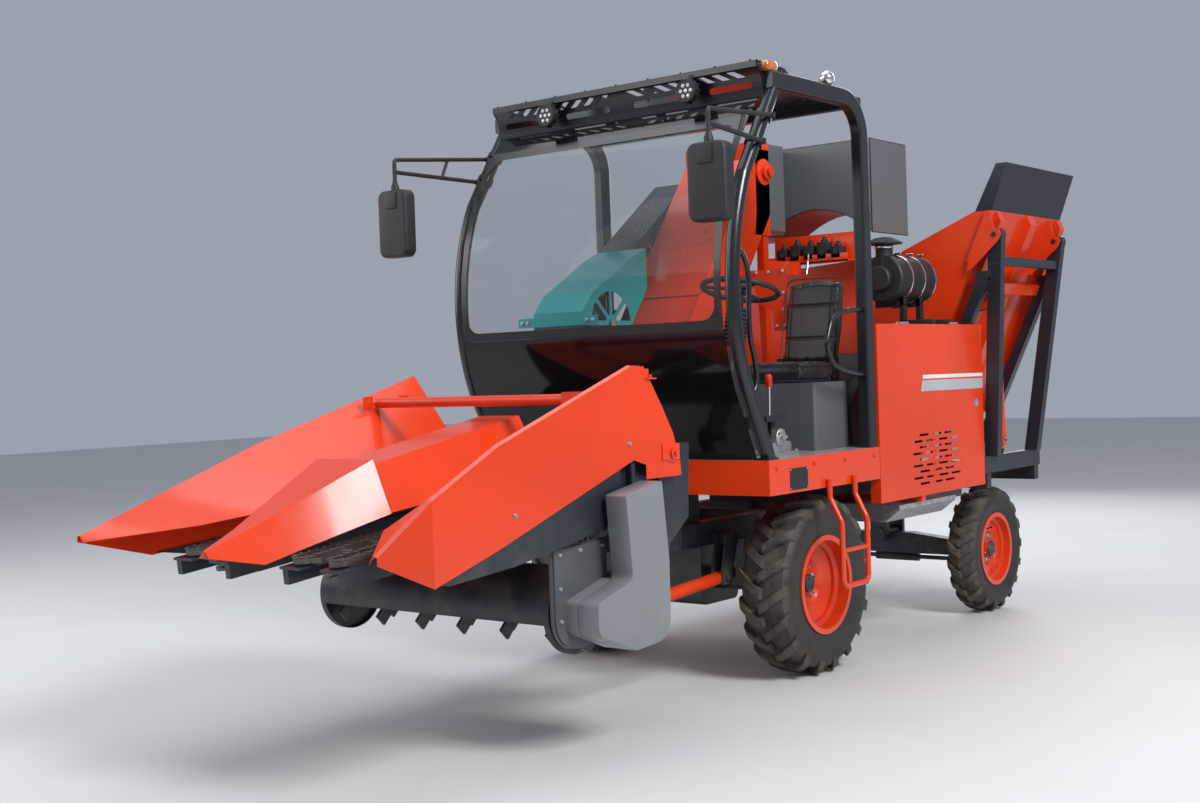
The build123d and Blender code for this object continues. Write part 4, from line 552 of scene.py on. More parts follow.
def rounded(width, height, corner, steps=6):
    """A rectangle with round corners, as points about its middle."""
    points = []
    for cx, cy, start in ((1, 1, 0), (-1, 1, 90), (-1, -1, 180), (1, -1, 270)):
        for k in range(steps + 1):
            turn = math.radians(start + 90 * k / steps)
            points.append((cx * (width / 2 - corner) + corner * math.cos(turn),
                           cy * (height / 2 - corner) + corner * math.sin(turn)))
    return points


def softened(points, corners, steps):
    """An outline with each corner rounded; corners holds one radius for each point."""
    out = []
    most = 0.48  # of a side that one corner may take
    for k, radius in enumerate(corners):
        here, before, after = (Vector(points[n % len(points)]) for n in (k, k - 1, k + 1))
        back, ahead = (before - here).normalized(), (after - here).normalized()
        run = radius / math.tan(back.angle(ahead) / 2)
        run = min(run, most * (before - here).length, most * (after - here).length)
        start, end = here + back * run, here + ahead * run
        for j in range(steps + 1):
            t = j / steps
            out.append(tuple(start * (1 - t) ** 2 + here * 2 * t * (1 - t) + end * t ** 2))
    return out


def bow(a, m, b, steps):
    """Points of a curve from a to b through m at its middle, without its two ends."""
    points = []
    for t in (k / steps for k in range(1, steps)):
        points.append(tuple(p * (1 - t) * (1 - 2 * t) + 4 * q * t * (1 - t) + r * t * (2 * t - 1)
                            for p, q, r in zip(a, m, b)))
    return points


def dome(radius, degrees):
    """A ball's profile for the lathe, at these degrees above its middle."""
    return [(radius * math.cos(math.radians(a)), radius * math.sin(math.radians(a))) for a in degrees]


def cut_out(obj, cutter):
    """Takes a bmesh's closed shapes out of an object."""
    bmesh.ops.recalc_face_normals(cutter, faces=cutter.faces)
    tool = link_in("cutter", mesh_from("cutter", cutter))
    apply_modifier(obj, "BOOLEAN", object=tool, solver="EXACT")
    bpy.data.objects.remove(tool)


def rod_piece(name, points, radius, look, bent=False, body="chassis"):
    """A round rod through points, with sharp corners or bent in one curve."""
    curve = bpy.data.curves.new(name, "CURVE")
    curve.dimensions = "3D"
    curve.bevel_depth = radius
    curve.bevel_resolution = 3
    curve.use_fill_caps = True
    spline = curve.splines.new("NURBS" if bent else "POLY")
    spline.points.add(len(points) - 1)
    for place, point in zip(spline.points, points):
        place.co = (*point, 1)
    if bent:
        spline.order_u = 3
        spline.use_endpoint_u = True
        spline.resolution_u = 6
    pick(link_in(name, curve))
    bpy.ops.object.convert(target="MESH")
    bpy.ops.object.shade_smooth_by_angle(angle=math.radians(50))
    return settle(bpy.context.object, look, body)


def copies(name, template, places):
    """One piece joined from copies of a mesh, which is used up, one at each matrix."""
    made = []
    for place in places:
        made.append(link_in(name, template.copy()))
        made[-1].data.transform(place)
    bpy.data.meshes.remove(template)
    return joined(made)


def facing(direction, points):
    """Places for bolts that all look the same way."""
    return [(point, direction) for point in points]


def bolts(name, heads, across, look="zinc", body="chassis"):
    """Hexagon heads on their washers, each at a point with a direction, as one piece."""
    bm = bmesh.new()
    lathe(bm, Matrix.Identity(4), ((0.66, 0.0), (0.66, 0.10), (0.52, 0.12)), 14)
    lathe(bm, Matrix.Identity(4), ((0.56, 0.12), (0.56, 0.48), (0.46, 0.60), (0.30, 0.62)), 6)
    bmesh.ops.recalc_face_normals(bm, faces=bm.faces)
    places = [aim(point, direction) @ Matrix.Rotation(0.7 * k, 4, "Z") @ Matrix.Scale(across, 4)
              for k, (point, direction) in enumerate(heads)]
    return settle(copies(name, mesh_from("bolt", bm), places), look, body)


def screen_line(z, out):
    """How far forward the screen's surface lies at a height, set out from the pillars' centre line."""
    (ay, az), (by, bz), (cy, cz) = SCREEN
    d = 2 * (ay * (bz - cz) + by * (cz - az) + cy * (az - bz))
    a2, b2, c2 = ay * ay + az * az, by * by + bz * bz, cy * cy + cz * cz
    uy = (a2 * (bz - cz) + b2 * (cz - az) + c2 * (az - bz)) / d
    uz = (a2 * (cy - by) + b2 * (ay - cy) + c2 * (by - ay)) / d
    radius = math.hypot(ay - uy, az - uz) + out
    return uy - math.sqrt(radius ** 2 - (z - uz) ** 2)


def elevator_face(z, deep=0.0):
    """The y of the elevator's sloped front at a height, or of a plane so deep behind it."""
    return ELEVATOR_Y + ELEVATOR_RUN * (z - ELEVATOR_Z) + deep


class COMBINE_OT_paint(bpy.types.Operator):
    """Gives every solid of the machine its finish"""

    bl_idname = "combine.paint"
    bl_label = "Paint the machine"

    def execute(self, context):
        looks = {node: look for look, nodes in NODE_FINISHES.items() for node in nodes.split()}
        for name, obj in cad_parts.items():
            dress(obj, looks[name])
        return {"FINISHED"}


class COMBINE_OT_tyres(bpy.types.Operator):
    """Tyres with two rows of slanted bar lugs"""

    bl_idname = "combine.tyres"
    bl_label = "Tyres"

    def execute(self, context):
        slant, lugs, round_steps = math.radians(38), sizes().lug_count, 90
        lug_part = 0.095  # a lug's thickness as a part of the tyre's radius
        # across a lug: 0 for its foot, 1 for its shoulder, 2 for its top, and a part of half its thickness
        lug_section = ((0, -1.10), (1, -0.92), (2, -0.78), (2, 0.78), (1, 0.92), (0, 1.10))
        # axle, centre's x, width, bead radius, lug height
        for axle, x_mid, width, seat, tall in (("front", 0.675, 0.275, 0.2298, 0.034),
                                               ("rear", 0.665, 0.185, 0.2043, 0.026)):
            y, top = AXLES[axle]
            carcass, half = top - tall, width / 2
            bead, shoulder, reach = half - 0.0208, half - 0.014, half - 0.003
            wall_foot, wall_head = (bead, seat + 0.022), (shoulder, carcass - 0.018)
            outer = [(bead, seat), wall_foot]
            outer += bow(wall_foot, (half, (seat + carcass) / 2 + 0.02), wall_head, 9)
            outer += [wall_head, (shoulder * 0.9, carcass - 0.007), (shoulder * 0.55, carcass)]
            profile = outer + [(-x, r) for x, r in reversed(outer)]
            # part of the reach, radius on top, radius below
            crown = ((-0.04, top, carcass - 0.004), (0.30, top, carcass - 0.004),
                     (0.58, top - 0.003, carcass - 0.004), (0.82, top - 0.011, carcass - 0.012),
                     (0.95, top - 0.024, carcass - 0.030), (1.0, carcass - 0.012, carcass - 0.062))
            for side_name, side in SIDES:
                def spot(x, radius, turn):
                    return side * x_mid + x, y + radius * math.sin(turn), top + radius * math.cos(turn)

                bm = bmesh.new()
                ring_skin(bm, [[spot(x, r, 2 * math.pi * k / round_steps) for x, r in profile]
                               for k in range(round_steps)])
                for hand, phase in ((1, 0.0), (-1, 0.5)):
                    for k in range(lugs):
                        rows = []
                        for part, high, low in crown:
                            turn = (2 * math.pi * (k + phase) / lugs
                                    + abs(part * reach) * math.tan(slant) / top)
                            wide = lug_part * top / 2 / math.cos(slant) / top * (1.0 if part < 0.9 else 1.12)
                            radii = (low, high - 0.003, high)
                            rows.append([spot(hand * part * reach, radii[level], turn + spread * wide)
                                         for level, spread in lug_section])
                        loops(bm, rows)
                tyre = piece("%s_tyre_tread_%s" % (axle, side_name), bm, axle + "_rubber", 32,
                             "%s_wheel_%s" % (axle, side_name))
                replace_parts(tyre, "%s_tyre_%s" % (axle, side_name))
        return {"FINISHED"}


class COMBINE_OT_roof(bpy.types.Operator):
    """Roof sheet with rolled edges, slotted visor board, and the bodies of the work lamps and ball lamp"""

    bl_idname = "combine.roof"
    bl_label = "Roof and lamp bodies"

    def execute(self, context):
        top, front, half, thick = ROOF_TOP, VISOR_FRONT, 0.837, 0.004
        sheet_half, sheet_top = 0.8177, 2.9243
        upper, lower = (front, top - 0.03), (-0.2435, 2.8225)
        line = [(front, top), upper] + bow(upper, (front + 0.034, top - 0.076), lower, 8) + [lower]
        inside = [(y + thick, z + (0.002 if k > 1 else 0)) for k, (y, z) in enumerate(line)]
        bm = bmesh.new()
        prism(bm, "X", line + inside[::-1], -half, half)
        visor = piece("visor_board", bm, "cab")
        cutter = bmesh.new()
        for side in (1, -1):
            for k in range(8):
                x, high, low = 0.055 + k * 0.086, top - 0.036, top - 0.066
                slot = ((x, high), (x + 0.042, high), (x + 0.098, low), (x + 0.056, low))
                prism(cutter, "Y", [(side * a, b) for a, b in slot], front - 0.01, front + 0.10)
            for x0, x1 in ((0.075, 0.365), (0.535, 0.785)):
                slot = [(side * (x0 + x1) / 2 + p, 2.881 + q) for p, q in rounded(x1 - x0, 0.030, 0.0149, 5)]
                prism(cutter, "Y", slot, front - 0.01, front + 0.16)
        cut_out(visor, cutter)

        bm = bmesh.new()
        block(bm, (-sheet_half, -0.235, sheet_top - thick), (sheet_half, 0.640, sheet_top))
        end = ((front, top), (front + 0.245, top - 0.008), (front + 0.300, 2.9445), (front + 0.112, 2.9405),
               lower, (front + 0.040, top - 0.080), upper)
        rib = ((front + 0.004, top - 0.006), (front + 0.02, top - 0.006), (-0.10, 2.9443), (-0.19, 2.9443),
               (front + 0.05, 2.885))
        for side in (1, -1):
            block(bm, (side * 0.8137, -0.160, 2.896), (side * sheet_half, 0.590, sheet_top))
            prism(bm, "X", end, side * half, side * (half - thick))
            for x in (0.448, 0.16):
                prism(bm, "X", rib, side * x, side * (x + thick))
        for y in (0.10, 0.40):
            block(bm, (-0.70, y, 2.9242), (0.70, y + 0.03, 2.9320), 0.003)
        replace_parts(joined([visor, piece("roof_sheet", bm, "cab")]), "roof")

        bm = bmesh.new()
        for x in LAMP_X:
            lathe(bm, aim((x, LAMP_BACK, LAMP_Z), AHEAD), (
                (0.030, -0.005), (0.050, 0.004), (0.0555, 0.014), (0.0555, 0.050), (0.049, 0.050),
                (0.049, 0.043), (0.0, 0.043)), 32)
            block(bm, (x - 0.012, -0.3025, 2.930), (x + 0.012, LAMP_BACK, 2.968), 0.001)
        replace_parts(piece("lamp_bodies", bm, "plastic", 40), "lamps")
        bm = bmesh.new()
        foot = Vector((BALL_LAMP.x, BALL_LAMP.y, 2.9400))
        lathe(bm, aim(foot, UP), ((0.022, 0.0), (0.022, 0.004), (0.012, 0.006), (0.012, 0.012)), 20)
        lathe(bm, aim(BALL_LAMP, UP), dome(0.037, range(-90, 91, 15)), 28)
        piece("ball_lamp", bm, "plastic", 50)
        return {"FINISHED"}


class COMBINE_OT_brackets(bpy.types.Operator):
    """Mirror heads on their looped brackets, and the cab's grab rails"""

    bl_idname = "combine.brackets"
    bl_label = "Mirrors and rails"

    def execute(self, context):
        pillar_y, pillar_z = SCREEN[2]
        lean, loop_z, stay_z, tube = 0.66, 2.720, 2.590, 0.0355
        for name, side, (x, y, z) in MIRRORS:
            def on_pillar(out, height):
                return Vector((side * out, pillar_y + (height - pillar_z) * lean, height))

            bm = bmesh.new()
            cube(bm, Matrix.Translation((x, y, z)), (0.2, 0.07, 0.34))
            edges = [e for e in bm.edges if abs(e.verts[0].co.y - e.verts[1].co.y) > 0.01]
            bmesh.ops.bevel(bm, geom=edges, offset=0.042, segments=5, affect="EDGES", profile=0.5)
            edges = [e for e in bm.edges
                     if all(v.co.y < y - 0.03 for v in e.verts) and e.calc_face_angle(0) > 0.8]
            bmesh.ops.bevel(bm, geom=edges, offset=0.016, segments=4, affect="EDGES", profile=0.5)
            head = piece("mirror_head_" + name, bm, "plastic", 35)
            if side > 0:
                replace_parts(head, "mirrors")
            high, low = on_pillar(0.898, loop_z), on_pillar(0.898, stay_z)
            corner, drop = Vector((x, y, 2.661)), Vector((x, y, 2.599))
            turn_in = corner + (high - corner).normalized() * 0.04
            rod_piece("mirror_loop_" + name, (high, turn_in, corner, corner - UP * 0.04, (x, y, z + 0.165)),
                      0.011, "plastic", True)
            rod_piece("mirror_stay_" + name, (low, drop), 0.011, "plastic")
            rod_piece("mirror_tie_" + name, (high.lerp(corner, 0.45), low.lerp(drop, 0.45)), 0.009, "plastic")
            bm = bmesh.new()
            for height in (loop_z, stay_z):
                spot = on_pillar(0.85, height)
                lathe(bm, aim(spot, (0, lean, 1)),
                      ((tube, -0.016), (0.043, -0.016), (0.043, 0.016), (tube, 0.016)), 28)
                block(bm, (side * 0.885, spot.y - 0.014, height - 0.014),
                      (side * 0.912, spot.y + 0.014, height + 0.014), 0.003)
            piece("mirror_grips_" + name, bm, "cab", 35)
        # each rail's bends, as y and z
        for name, bends in (
                ("front", ((-0.560, 2.100), (-0.433, 2.086), (-0.464, 1.706), (-0.404, 1.570),
                           (-0.404, 1.440), (-0.480, 1.400))),
                ("rear", ((0.640, 1.829), (0.326, 1.827), (0.247, 1.680), (0.247, 1.630), (0.327, 1.513),
                          (0.640, 1.490)))):
            rod_piece("grab_rail_" + name, [(0.85, y, z) for y, z in bends], 0.013, "cab", True)
        return {"FINISHED"}


class COMBINE_OT_header(bpy.types.Operator):
    """Drive case, drum-shaped guard, black side sheets and brackets of the header"""

    bl_idname = "combine.header"
    bl_label = "Header sheets"

    def execute(self, context):
        drum = ((-1.262, 0.440), (-1.500, 0.425), (-1.737, 0.520), (-1.737, 0.648))
        bm = bmesh.new()
        prism(bm, "X", softened(((-1.538, 1.056), (-1.291, 1.098), (-1.257, 0.763)) + drum
                                + ((-1.508, 0.713),),
                                (0.016, 0.016, 0.060, 0.110, 0.060, 0.060, 0.030, 0.040), 7), 0.835, 0.9445)
        guard = piece("drive_guard", bm, "grey", body="header")
        apply_modifier(guard, "BEVEL", width=0.005, segments=2, limit_method="ANGLE",
                       angle_limit=math.radians(60))
        bpy.ops.object.shade_smooth_by_angle(angle=math.radians(35))
        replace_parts(guard, "chain_guard")
        bm = bmesh.new()
        prism(bm, "X", softened(((-1.509, 0.713), (-1.257, 0.713)) + drum,
                                (0.020, 0.020, 0.110, 0.060, 0.060, 0.030), 7), 0.7803, 0.8352)
        piece("guard_drum", bm, "grey", 35, "header")

        case = softened(((-1.801, 0.856), (-1.471, 0.868), (-1.471, 0.455), (-1.801, 0.455)),
                        (0.008, 0.008, 0.140, 0.140), 9)
        middle_y, middle_z = -1.636, 0.660
        bm = bmesh.new()
        prism(bm, "X", case, 0.7505, 0.7800)
        prism(bm, "X", [(middle_y + (y - middle_y) * 1.05, middle_z + (z - middle_z) * 1.04)
                        for y, z in case], 0.7660, 0.7700)
        for k in range(8):
            y = -1.777 + k * 0.036
            prism(bm, "X", ((y, 0.848), (y + 0.018, 0.888), (y + 0.034, 0.848)), 0.720, 0.726)
        piece("drive_case", bm, "grey_dark", 35, "header")

        # the black sheets under the dividers: from x, to x, outline in y and z
        bm = bmesh.new()
        for x0, x1, outline in (
                (0.8060, 0.8115, ((-2.470, 0.812), (-2.420, 0.800), (-2.060, 0.828), (-1.700, 0.880),
                                  (-1.420, 0.940), (-1.400, 1.155), (-2.130, 0.925))),
                (0.7640, 0.7700, ((-1.420, 0.940), (-1.010, 0.800), (-0.870, 0.900), (-0.850, 1.230),
                                  (-1.235, 1.230), (-1.400, 1.155))),
                (-0.7865, -0.7810, ((-2.540, 0.860), (-2.020, 0.780), (-1.420, 0.800), (-1.010, 0.800),
                                    (-0.870, 0.900), (-0.860, 1.130), (-1.03, 1.095), (-2.020, 0.905)))):
            prism(bm, "X", outline, x0, x1)
        piece("side_sheets", bm, "frame", body="header")

        bm = bmesh.new()
        for y, z in ((-1.310, 0.880), (-1.120, 0.830)):
            block(bm, (0.772, y, z), (0.800, y + 0.025, 1.200), 0.003)
        for x in (-0.445, -0.215, 0.215, 0.445):
            block(bm, (x - 0.045, -1.275, 0.900), (x + 0.045, -1.145, 0.990), 0.010)
            lathe(bm, aim((x, -1.21, 0.990), UP),
                  ((0.038, 0.0), (0.038, 0.030), (0.018, 0.036), (0.018, 0.050)), 18)
        piece("header_brackets", bm, "frame", 35, "header")

        bm = bmesh.new()
        lathe(bm, aim((0.815, -1.045, 1.195), LEFT), (
            (0.040, 0.0), (0.040, 0.006), (0.026, 0.010), (0.026, 0.022), (0.012, 0.024), (0.012, 0.034),
            (0.0, 0.035)), 24)
        block(bm, (0.815, -1.115, 1.165), (0.821, -0.990, 1.235), 0.002)
        block(bm, (0.780, -1.215, 1.515), (0.828, -1.150, 1.521), 0.001)
        block(bm, (0.780, -1.190, 1.521), (0.786, -1.150, 1.560), 0.001)
        lathe(bm, aim((0.806, -1.168, 1.521), UP), ((0.010, 0.0), (0.010, 0.012), (0.006, 0.014)), 6)
        for y in (-1.43, -1.20):
            block(bm, (-0.700, y, 1.408), (-0.694, y + 0.060, 1.472), 0.001)
        piece("divider_fittings", bm, "orange", 35, "header")
        return {"FINISHED"}


class COMBINE_OT_elevator(bpy.types.Operator):
    """Elevator casing with its upright head and valve plate, the hood behind it and the air cleaner"""

    bl_idname = "combine.elevator"
    bl_label = "Elevator and hood"

    def execute(self, context):
        right, left, face = ELEVATOR_RIGHT, ELEVATOR_LEFT, elevator_face
        deep, foot, lip = 0.300 * math.hypot(1, ELEVATOR_RUN), 0.80, 0.012
        bm = bmesh.new()
        prism(bm, "X", ((face(foot), foot), (face(2.79), 2.79), (1.1, 2.79), (1.1, 2.423),
                        (face(foot, deep), foot)), right, left)
        head = face(2.790) - 0.040
        prism(bm, "X", ((head, 2.440), (head, 2.830), (1.100, 2.830), (1.100, 2.300),
                        (face(2.300, 0.300), 2.300)), right, left)
        prism(bm, "X", ((face(2.240, -0.008), 2.236), (face(2.240, -0.002), 2.244),
                        (face(2.240, 0.06), 2.244), (face(2.240, 0.06), 2.236)), right - 0.006, left + 0.006)
        for x in (right, left - 0.006):
            prism(bm, "X", ((face(1.20, -lip), 1.20), (face(2.20, -lip), 2.20),
                            (face(2.20), 2.20), (face(1.20), 1.20)), x, x + 0.006)
        for z in (1.60, 1.95):
            prism(bm, "X", ((face(z, -0.010), z), (face(z + 0.03, -0.010), z + 0.03),
                            (face(z + 0.03), z + 0.03), (face(z), z)), right, left)
        for x in (-0.310, -0.050):
            block(bm, (x, 1.038, 0.7903), (x + 0.050, 1.088, 2.340), 0.004)
        block(bm, (-0.310, 1.038, 0.7903), (0.310, 1.088, 0.8243), 0.003)
        prism(bm, "Y", ((0.005, 2.005), (0.005, 2.055), (0.060, 2.085), (0.300, 2.085), (0.300, 1.745),
                        (0.215, 1.745), (0.215, 1.850), (0.120, 1.900), (0.095, 1.990)), 0.776, 0.786)
        prism(bm, "X", ((0.776, 2.060), (0.776, 2.135), (1.110, 2.135), (1.110, 2.060)), 0.190, 0.198)
        # the valves' tray: front lip, floor and back
        for y0, y1, z1 in ((1.100, 1.104, 2.170), (1.100, 1.190, 2.133), (1.186, 1.190, 2.290)):
            block(bm, (-0.020, y0, 2.125), (0.505, y1, z1), 0.001)
        lathe(bm, aim((left, face(2.62, 0.16), 2.66), LEFT), (
            (0.075, 0.0), (0.075, 0.012), (0.045, 0.018), (0.045, 0.040), (0.028, 0.044), (0.028, 0.060)), 28)
        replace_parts(piece("elevator_casing", bm, "orange", 30), "ear_elevator")

        bm = bmesh.new()
        x0, x1, y0, y1, z0, z1, thick = -0.520, 0.480, 1.440, 1.880, 2.300, 2.840, 0.004
        foot = z0 + 0.030
        arch = ([(x1, z0)] + bow((x1, z0), (0.120, z0 + 0.160), (-0.240, foot), 12)
                + [(-0.240, foot), (x0, foot)])
        prism(bm, "Y", arch + [(x, z + thick) for x, z in arch[::-1]], y0, y1)
        block(bm, (x0, y0, foot), (x0 + thick, y1, z1))
        block(bm, (x1 - thick, y0, z0), (x1, y1, z1 - 0.001))
        block(bm, (x0, y0, z1 - thick), (x1, y1, z1))
        prism(bm, "Y", [(x1, z1)] + arch + [(x0, z1)], y0, y0 + thick)
        prism(bm, "Z", ((right, 1.1003), (left, 1.1003), (left, 1.260), (left - 0.120, y0), (right, y0)),
              z0 + 0.034, 2.826)
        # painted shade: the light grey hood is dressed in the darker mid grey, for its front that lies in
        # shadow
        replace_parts(piece("ear_hood", bm, "grey_mid", 30), "chute_hood")

        x, z, front, rear = CLEANER_X, CLEANER_Z, 1.262, 1.680
        bm = bmesh.new()
        lathe(bm, aim((x, front, z), BACK), (
            (0.0, -0.038), (0.062, -0.038), (0.070, -0.030), (0.070, 0.0), (0.122, 0.0), (0.132, 0.010),
            (0.132, rear - front - 0.010), (0.122, rear - front), (0.0, rear - front)), 48)
        lathe(bm, aim((x, 1.307, z), UP), (
            (0.048, 0.060), (0.048, 0.194), (0.104, 0.194), (0.104, 0.202), (0.085, 0.214), (0.050, 0.230),
            (0.0, 0.236)), 36)
        for y in (1.372, 1.570):
            block(bm, (x - 0.090, y - 0.020, z - 0.157), (x + 0.090, y + 0.020, z - 0.090), 0.004)
            block(bm, (x + 0.060, y - 0.020, 1.7533), (x + 0.090, y + 0.020, z - 0.090), 0.003)
            block(bm, (x + 0.060, y - 0.020, 1.7533), (0.880, y + 0.020, 1.783), 0.003)
        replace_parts(piece("cleaner_body", bm, "plastic", 30), "air_cleaner")
        return {"FINISHED"}


class COMBINE_OT_screen(bpy.types.Operator):
    """Black printed border of the windscreen"""

    bl_idname = "combine.screen"
    bl_label = "Windscreen border"

    def execute(self, context):
        low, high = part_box("windshield")
        width, height, per_side = high.x - low.x, high.z - low.z, 6
        rings = []
        for w, h, corner in ((width, height, 0.012), (width - 0.075, height - 0.085, 0.075)):
            outline = rounded(w, h, corner, 8)
            rings.append([((low.x + high.x) / 2 + (x0 + (x1 - x0) * k / per_side),
                           (low.z + high.z) / 2 + (z0 + (z1 - z0) * k / per_side))
                          for (x0, z0), (x1, z1) in zip(outline, outline[1:] + outline[:1])
                          for k in range(per_side)])
        bm = bmesh.new()
        loops(bm, [[(x, screen_line(z, out), z) for x, z in rings[which]]
                   for which, out in ((0, 0.0403), (0, 0.0425), (1, 0.0425), (1, 0.0403))], close=False)
        piece("screen_border", bm, "cab", 40)
        return {"FINISHED"}


class COMBINE_OT_lamps(bpy.types.Operator):
    """Lenses and cooled rims of the work lamps, the indicator's lens and the ball lamp's cap"""

    bl_idname = "combine.lamps"
    bl_label = "Lamps"

    def execute(self, context):
        for number, x in enumerate(LAMP_X):
            place = aim((x, LAMP_FACE, LAMP_Z), AHEAD)
            bm = bmesh.new()
            lathe(bm, place, ((0.0488, 0.0004), (0.0488, 0.0030), (0.046, 0.0036), (0.0, 0.0036)), 32)
            for k in range(7):
                turn, reach = math.radians(60 * k), 0.029 if k < 6 else 0.0
                eye = place @ Matrix.Translation((reach * math.cos(turn), reach * math.sin(turn), 0.003))
                lathe(bm, eye, ((0.0125, 0.0), (0.0118, 0.0035), (0.008, 0.0060), (0.0, 0.0068)), 16)
            piece("work_lamp_lens_%d" % number, bm, "lens", 40)
            bm = bmesh.new()
            lathe(bm, place, ((0.0495, 0.001), (0.0555, 0.001), (0.0565, 0.006), (0.0555, 0.0108),
                              (0.051, 0.0112), (0.0495, 0.008)), 40)
            for k in range(12):
                fin = place @ Matrix.Rotation(math.radians(30 * k), 4, "Z")
                cube(bm, fin @ Matrix.Translation((0.0557, 0, -0.024)), (0.006, 0.005, 0.040))
            piece("work_lamp_rim_%d" % number, bm, "plastic", 40)
        bm = bmesh.new()
        loops(bm, [[(0.8375 + out, -0.215 + p * shrink, 2.962 + q * shrink)
                    for p, q in rounded(0.0985, 0.0485, 0.0242, 7)]
                   for out, shrink in ((0.0, 1.0), (0.026, 1.0), (0.0335, 0.93), (0.0375, 0.74),
                                       (0.0388, 0.42))])
        piece("indicator_lens", bm, "amber", 50)
        bm = bmesh.new()
        lathe(bm, aim(BALL_LAMP, (0.35, -0.5, 0.8)), dome(0.0386, (-12, 0, 15, 30, 45, 60, 75, 90)), 28)
        piece("ball_lamp_cap", bm, "rod", 50)
        return {"FINISHED"}


class COMBINE_OT_mirrors(bpy.types.Operator):
    """Mirror glasses in their rims, and the raised sockets on the heads' backs"""

    bl_idname = "combine.mirrors"
    bl_label = "Mirror glasses"

    def execute(self, context):
        for name, _, (x, y, z) in MIRRORS:
            bm = bmesh.new()
            loops(bm, [[(x + p * shrink, y + 0.0354 + out, z + q * shrink)
                        for p, q in rounded(0.172, 0.306, 0.03)]
                       for out, shrink in ((0.0, 1.0), (0.0018, 1.0), (0.0026, 0.985))])
            piece("mirror_glass_" + name, bm, "mirror")
            bm = bmesh.new()
            block(bm, (x - 0.038, y - 0.0425, z + 0.075), (x + 0.038, y - 0.030, z + 0.160), 0.005)
            lathe(bm, aim((x, y, z + 0.168), UP),
                  ((0.021, 0.0), (0.021, 0.022), (0.016, 0.030), (0.0125, 0.045)), 20)
            piece("mirror_socket_" + name, bm, "plastic", 40)
        return {"FINISHED"}


class COMBINE_OT_wheels(bpy.types.Operator):
    """Wheel studs and nuts, hub caps and valves"""

    bl_idname = "combine.wheels"
    bl_label = "Wheel nuts"

    def execute(self, context):
        # axle, disc face's x, hub cap's x, radius of the studs' circle, the valve's radius
        for axle, disc, cap, circle, rim in (("front", 0.6568, 0.6888, 0.083, 0.150),
                                             ("rear", 0.6710, 0.7030, 0.072, 0.128)):
            y, z = AXLES[axle]
            for side_name, side in SIDES:
                def spot(x, reach, turn):
                    return side * x, y + reach * math.cos(turn), z + reach * math.sin(turn)

                tail, body = "_%s_%s" % (axle, side_name), "%s_wheel_%s" % (axle, side_name)
                out = (side, 0, 0)
                studs = [spot(disc, circle, math.radians(60 * k + 17)) for k in range(6)]
                bm = bmesh.new()
                for stud in studs:
                    lathe(bm, aim(stud, out), ((0.0078, 0.008), (0.0078, 0.026), (0.0060, 0.029)), 12)
                piece("studs" + tail, bm, "steel", 40, body)
                bolts("nuts" + tail, facing(out, studs), 0.027, body=body)
                bm = bmesh.new()
                lathe(bm, aim((side * cap, y, z), out),
                      ((0.0475, -0.002), (0.0475, 0.006), (0.043, 0.012), (0.022, 0.015), (0.0, 0.0155)), 32)
                for k in range(4):
                    lathe(bm, aim(spot(cap + 0.0135, 0.031, math.radians(90 * k + 40)), out),
                          ((0.0045, -0.003), (0.0045, 0.004), (0.0032, 0.005)), 6)
                piece("hub_cap" + tail, bm, "frame", 40, body)
                bm = bmesh.new()
                lathe(bm, aim(spot(disc + 0.020, rim, 1.9), (side, 0.1, 0.35)),
                      ((0.006, -0.012), (0.005, 0.02), (0.0045, 0.032), (0.006, 0.033), (0.006, 0.044)), 10)
                piece("valve" + tail, bm, "plastic", 40, body)
        return {"FINISHED"}


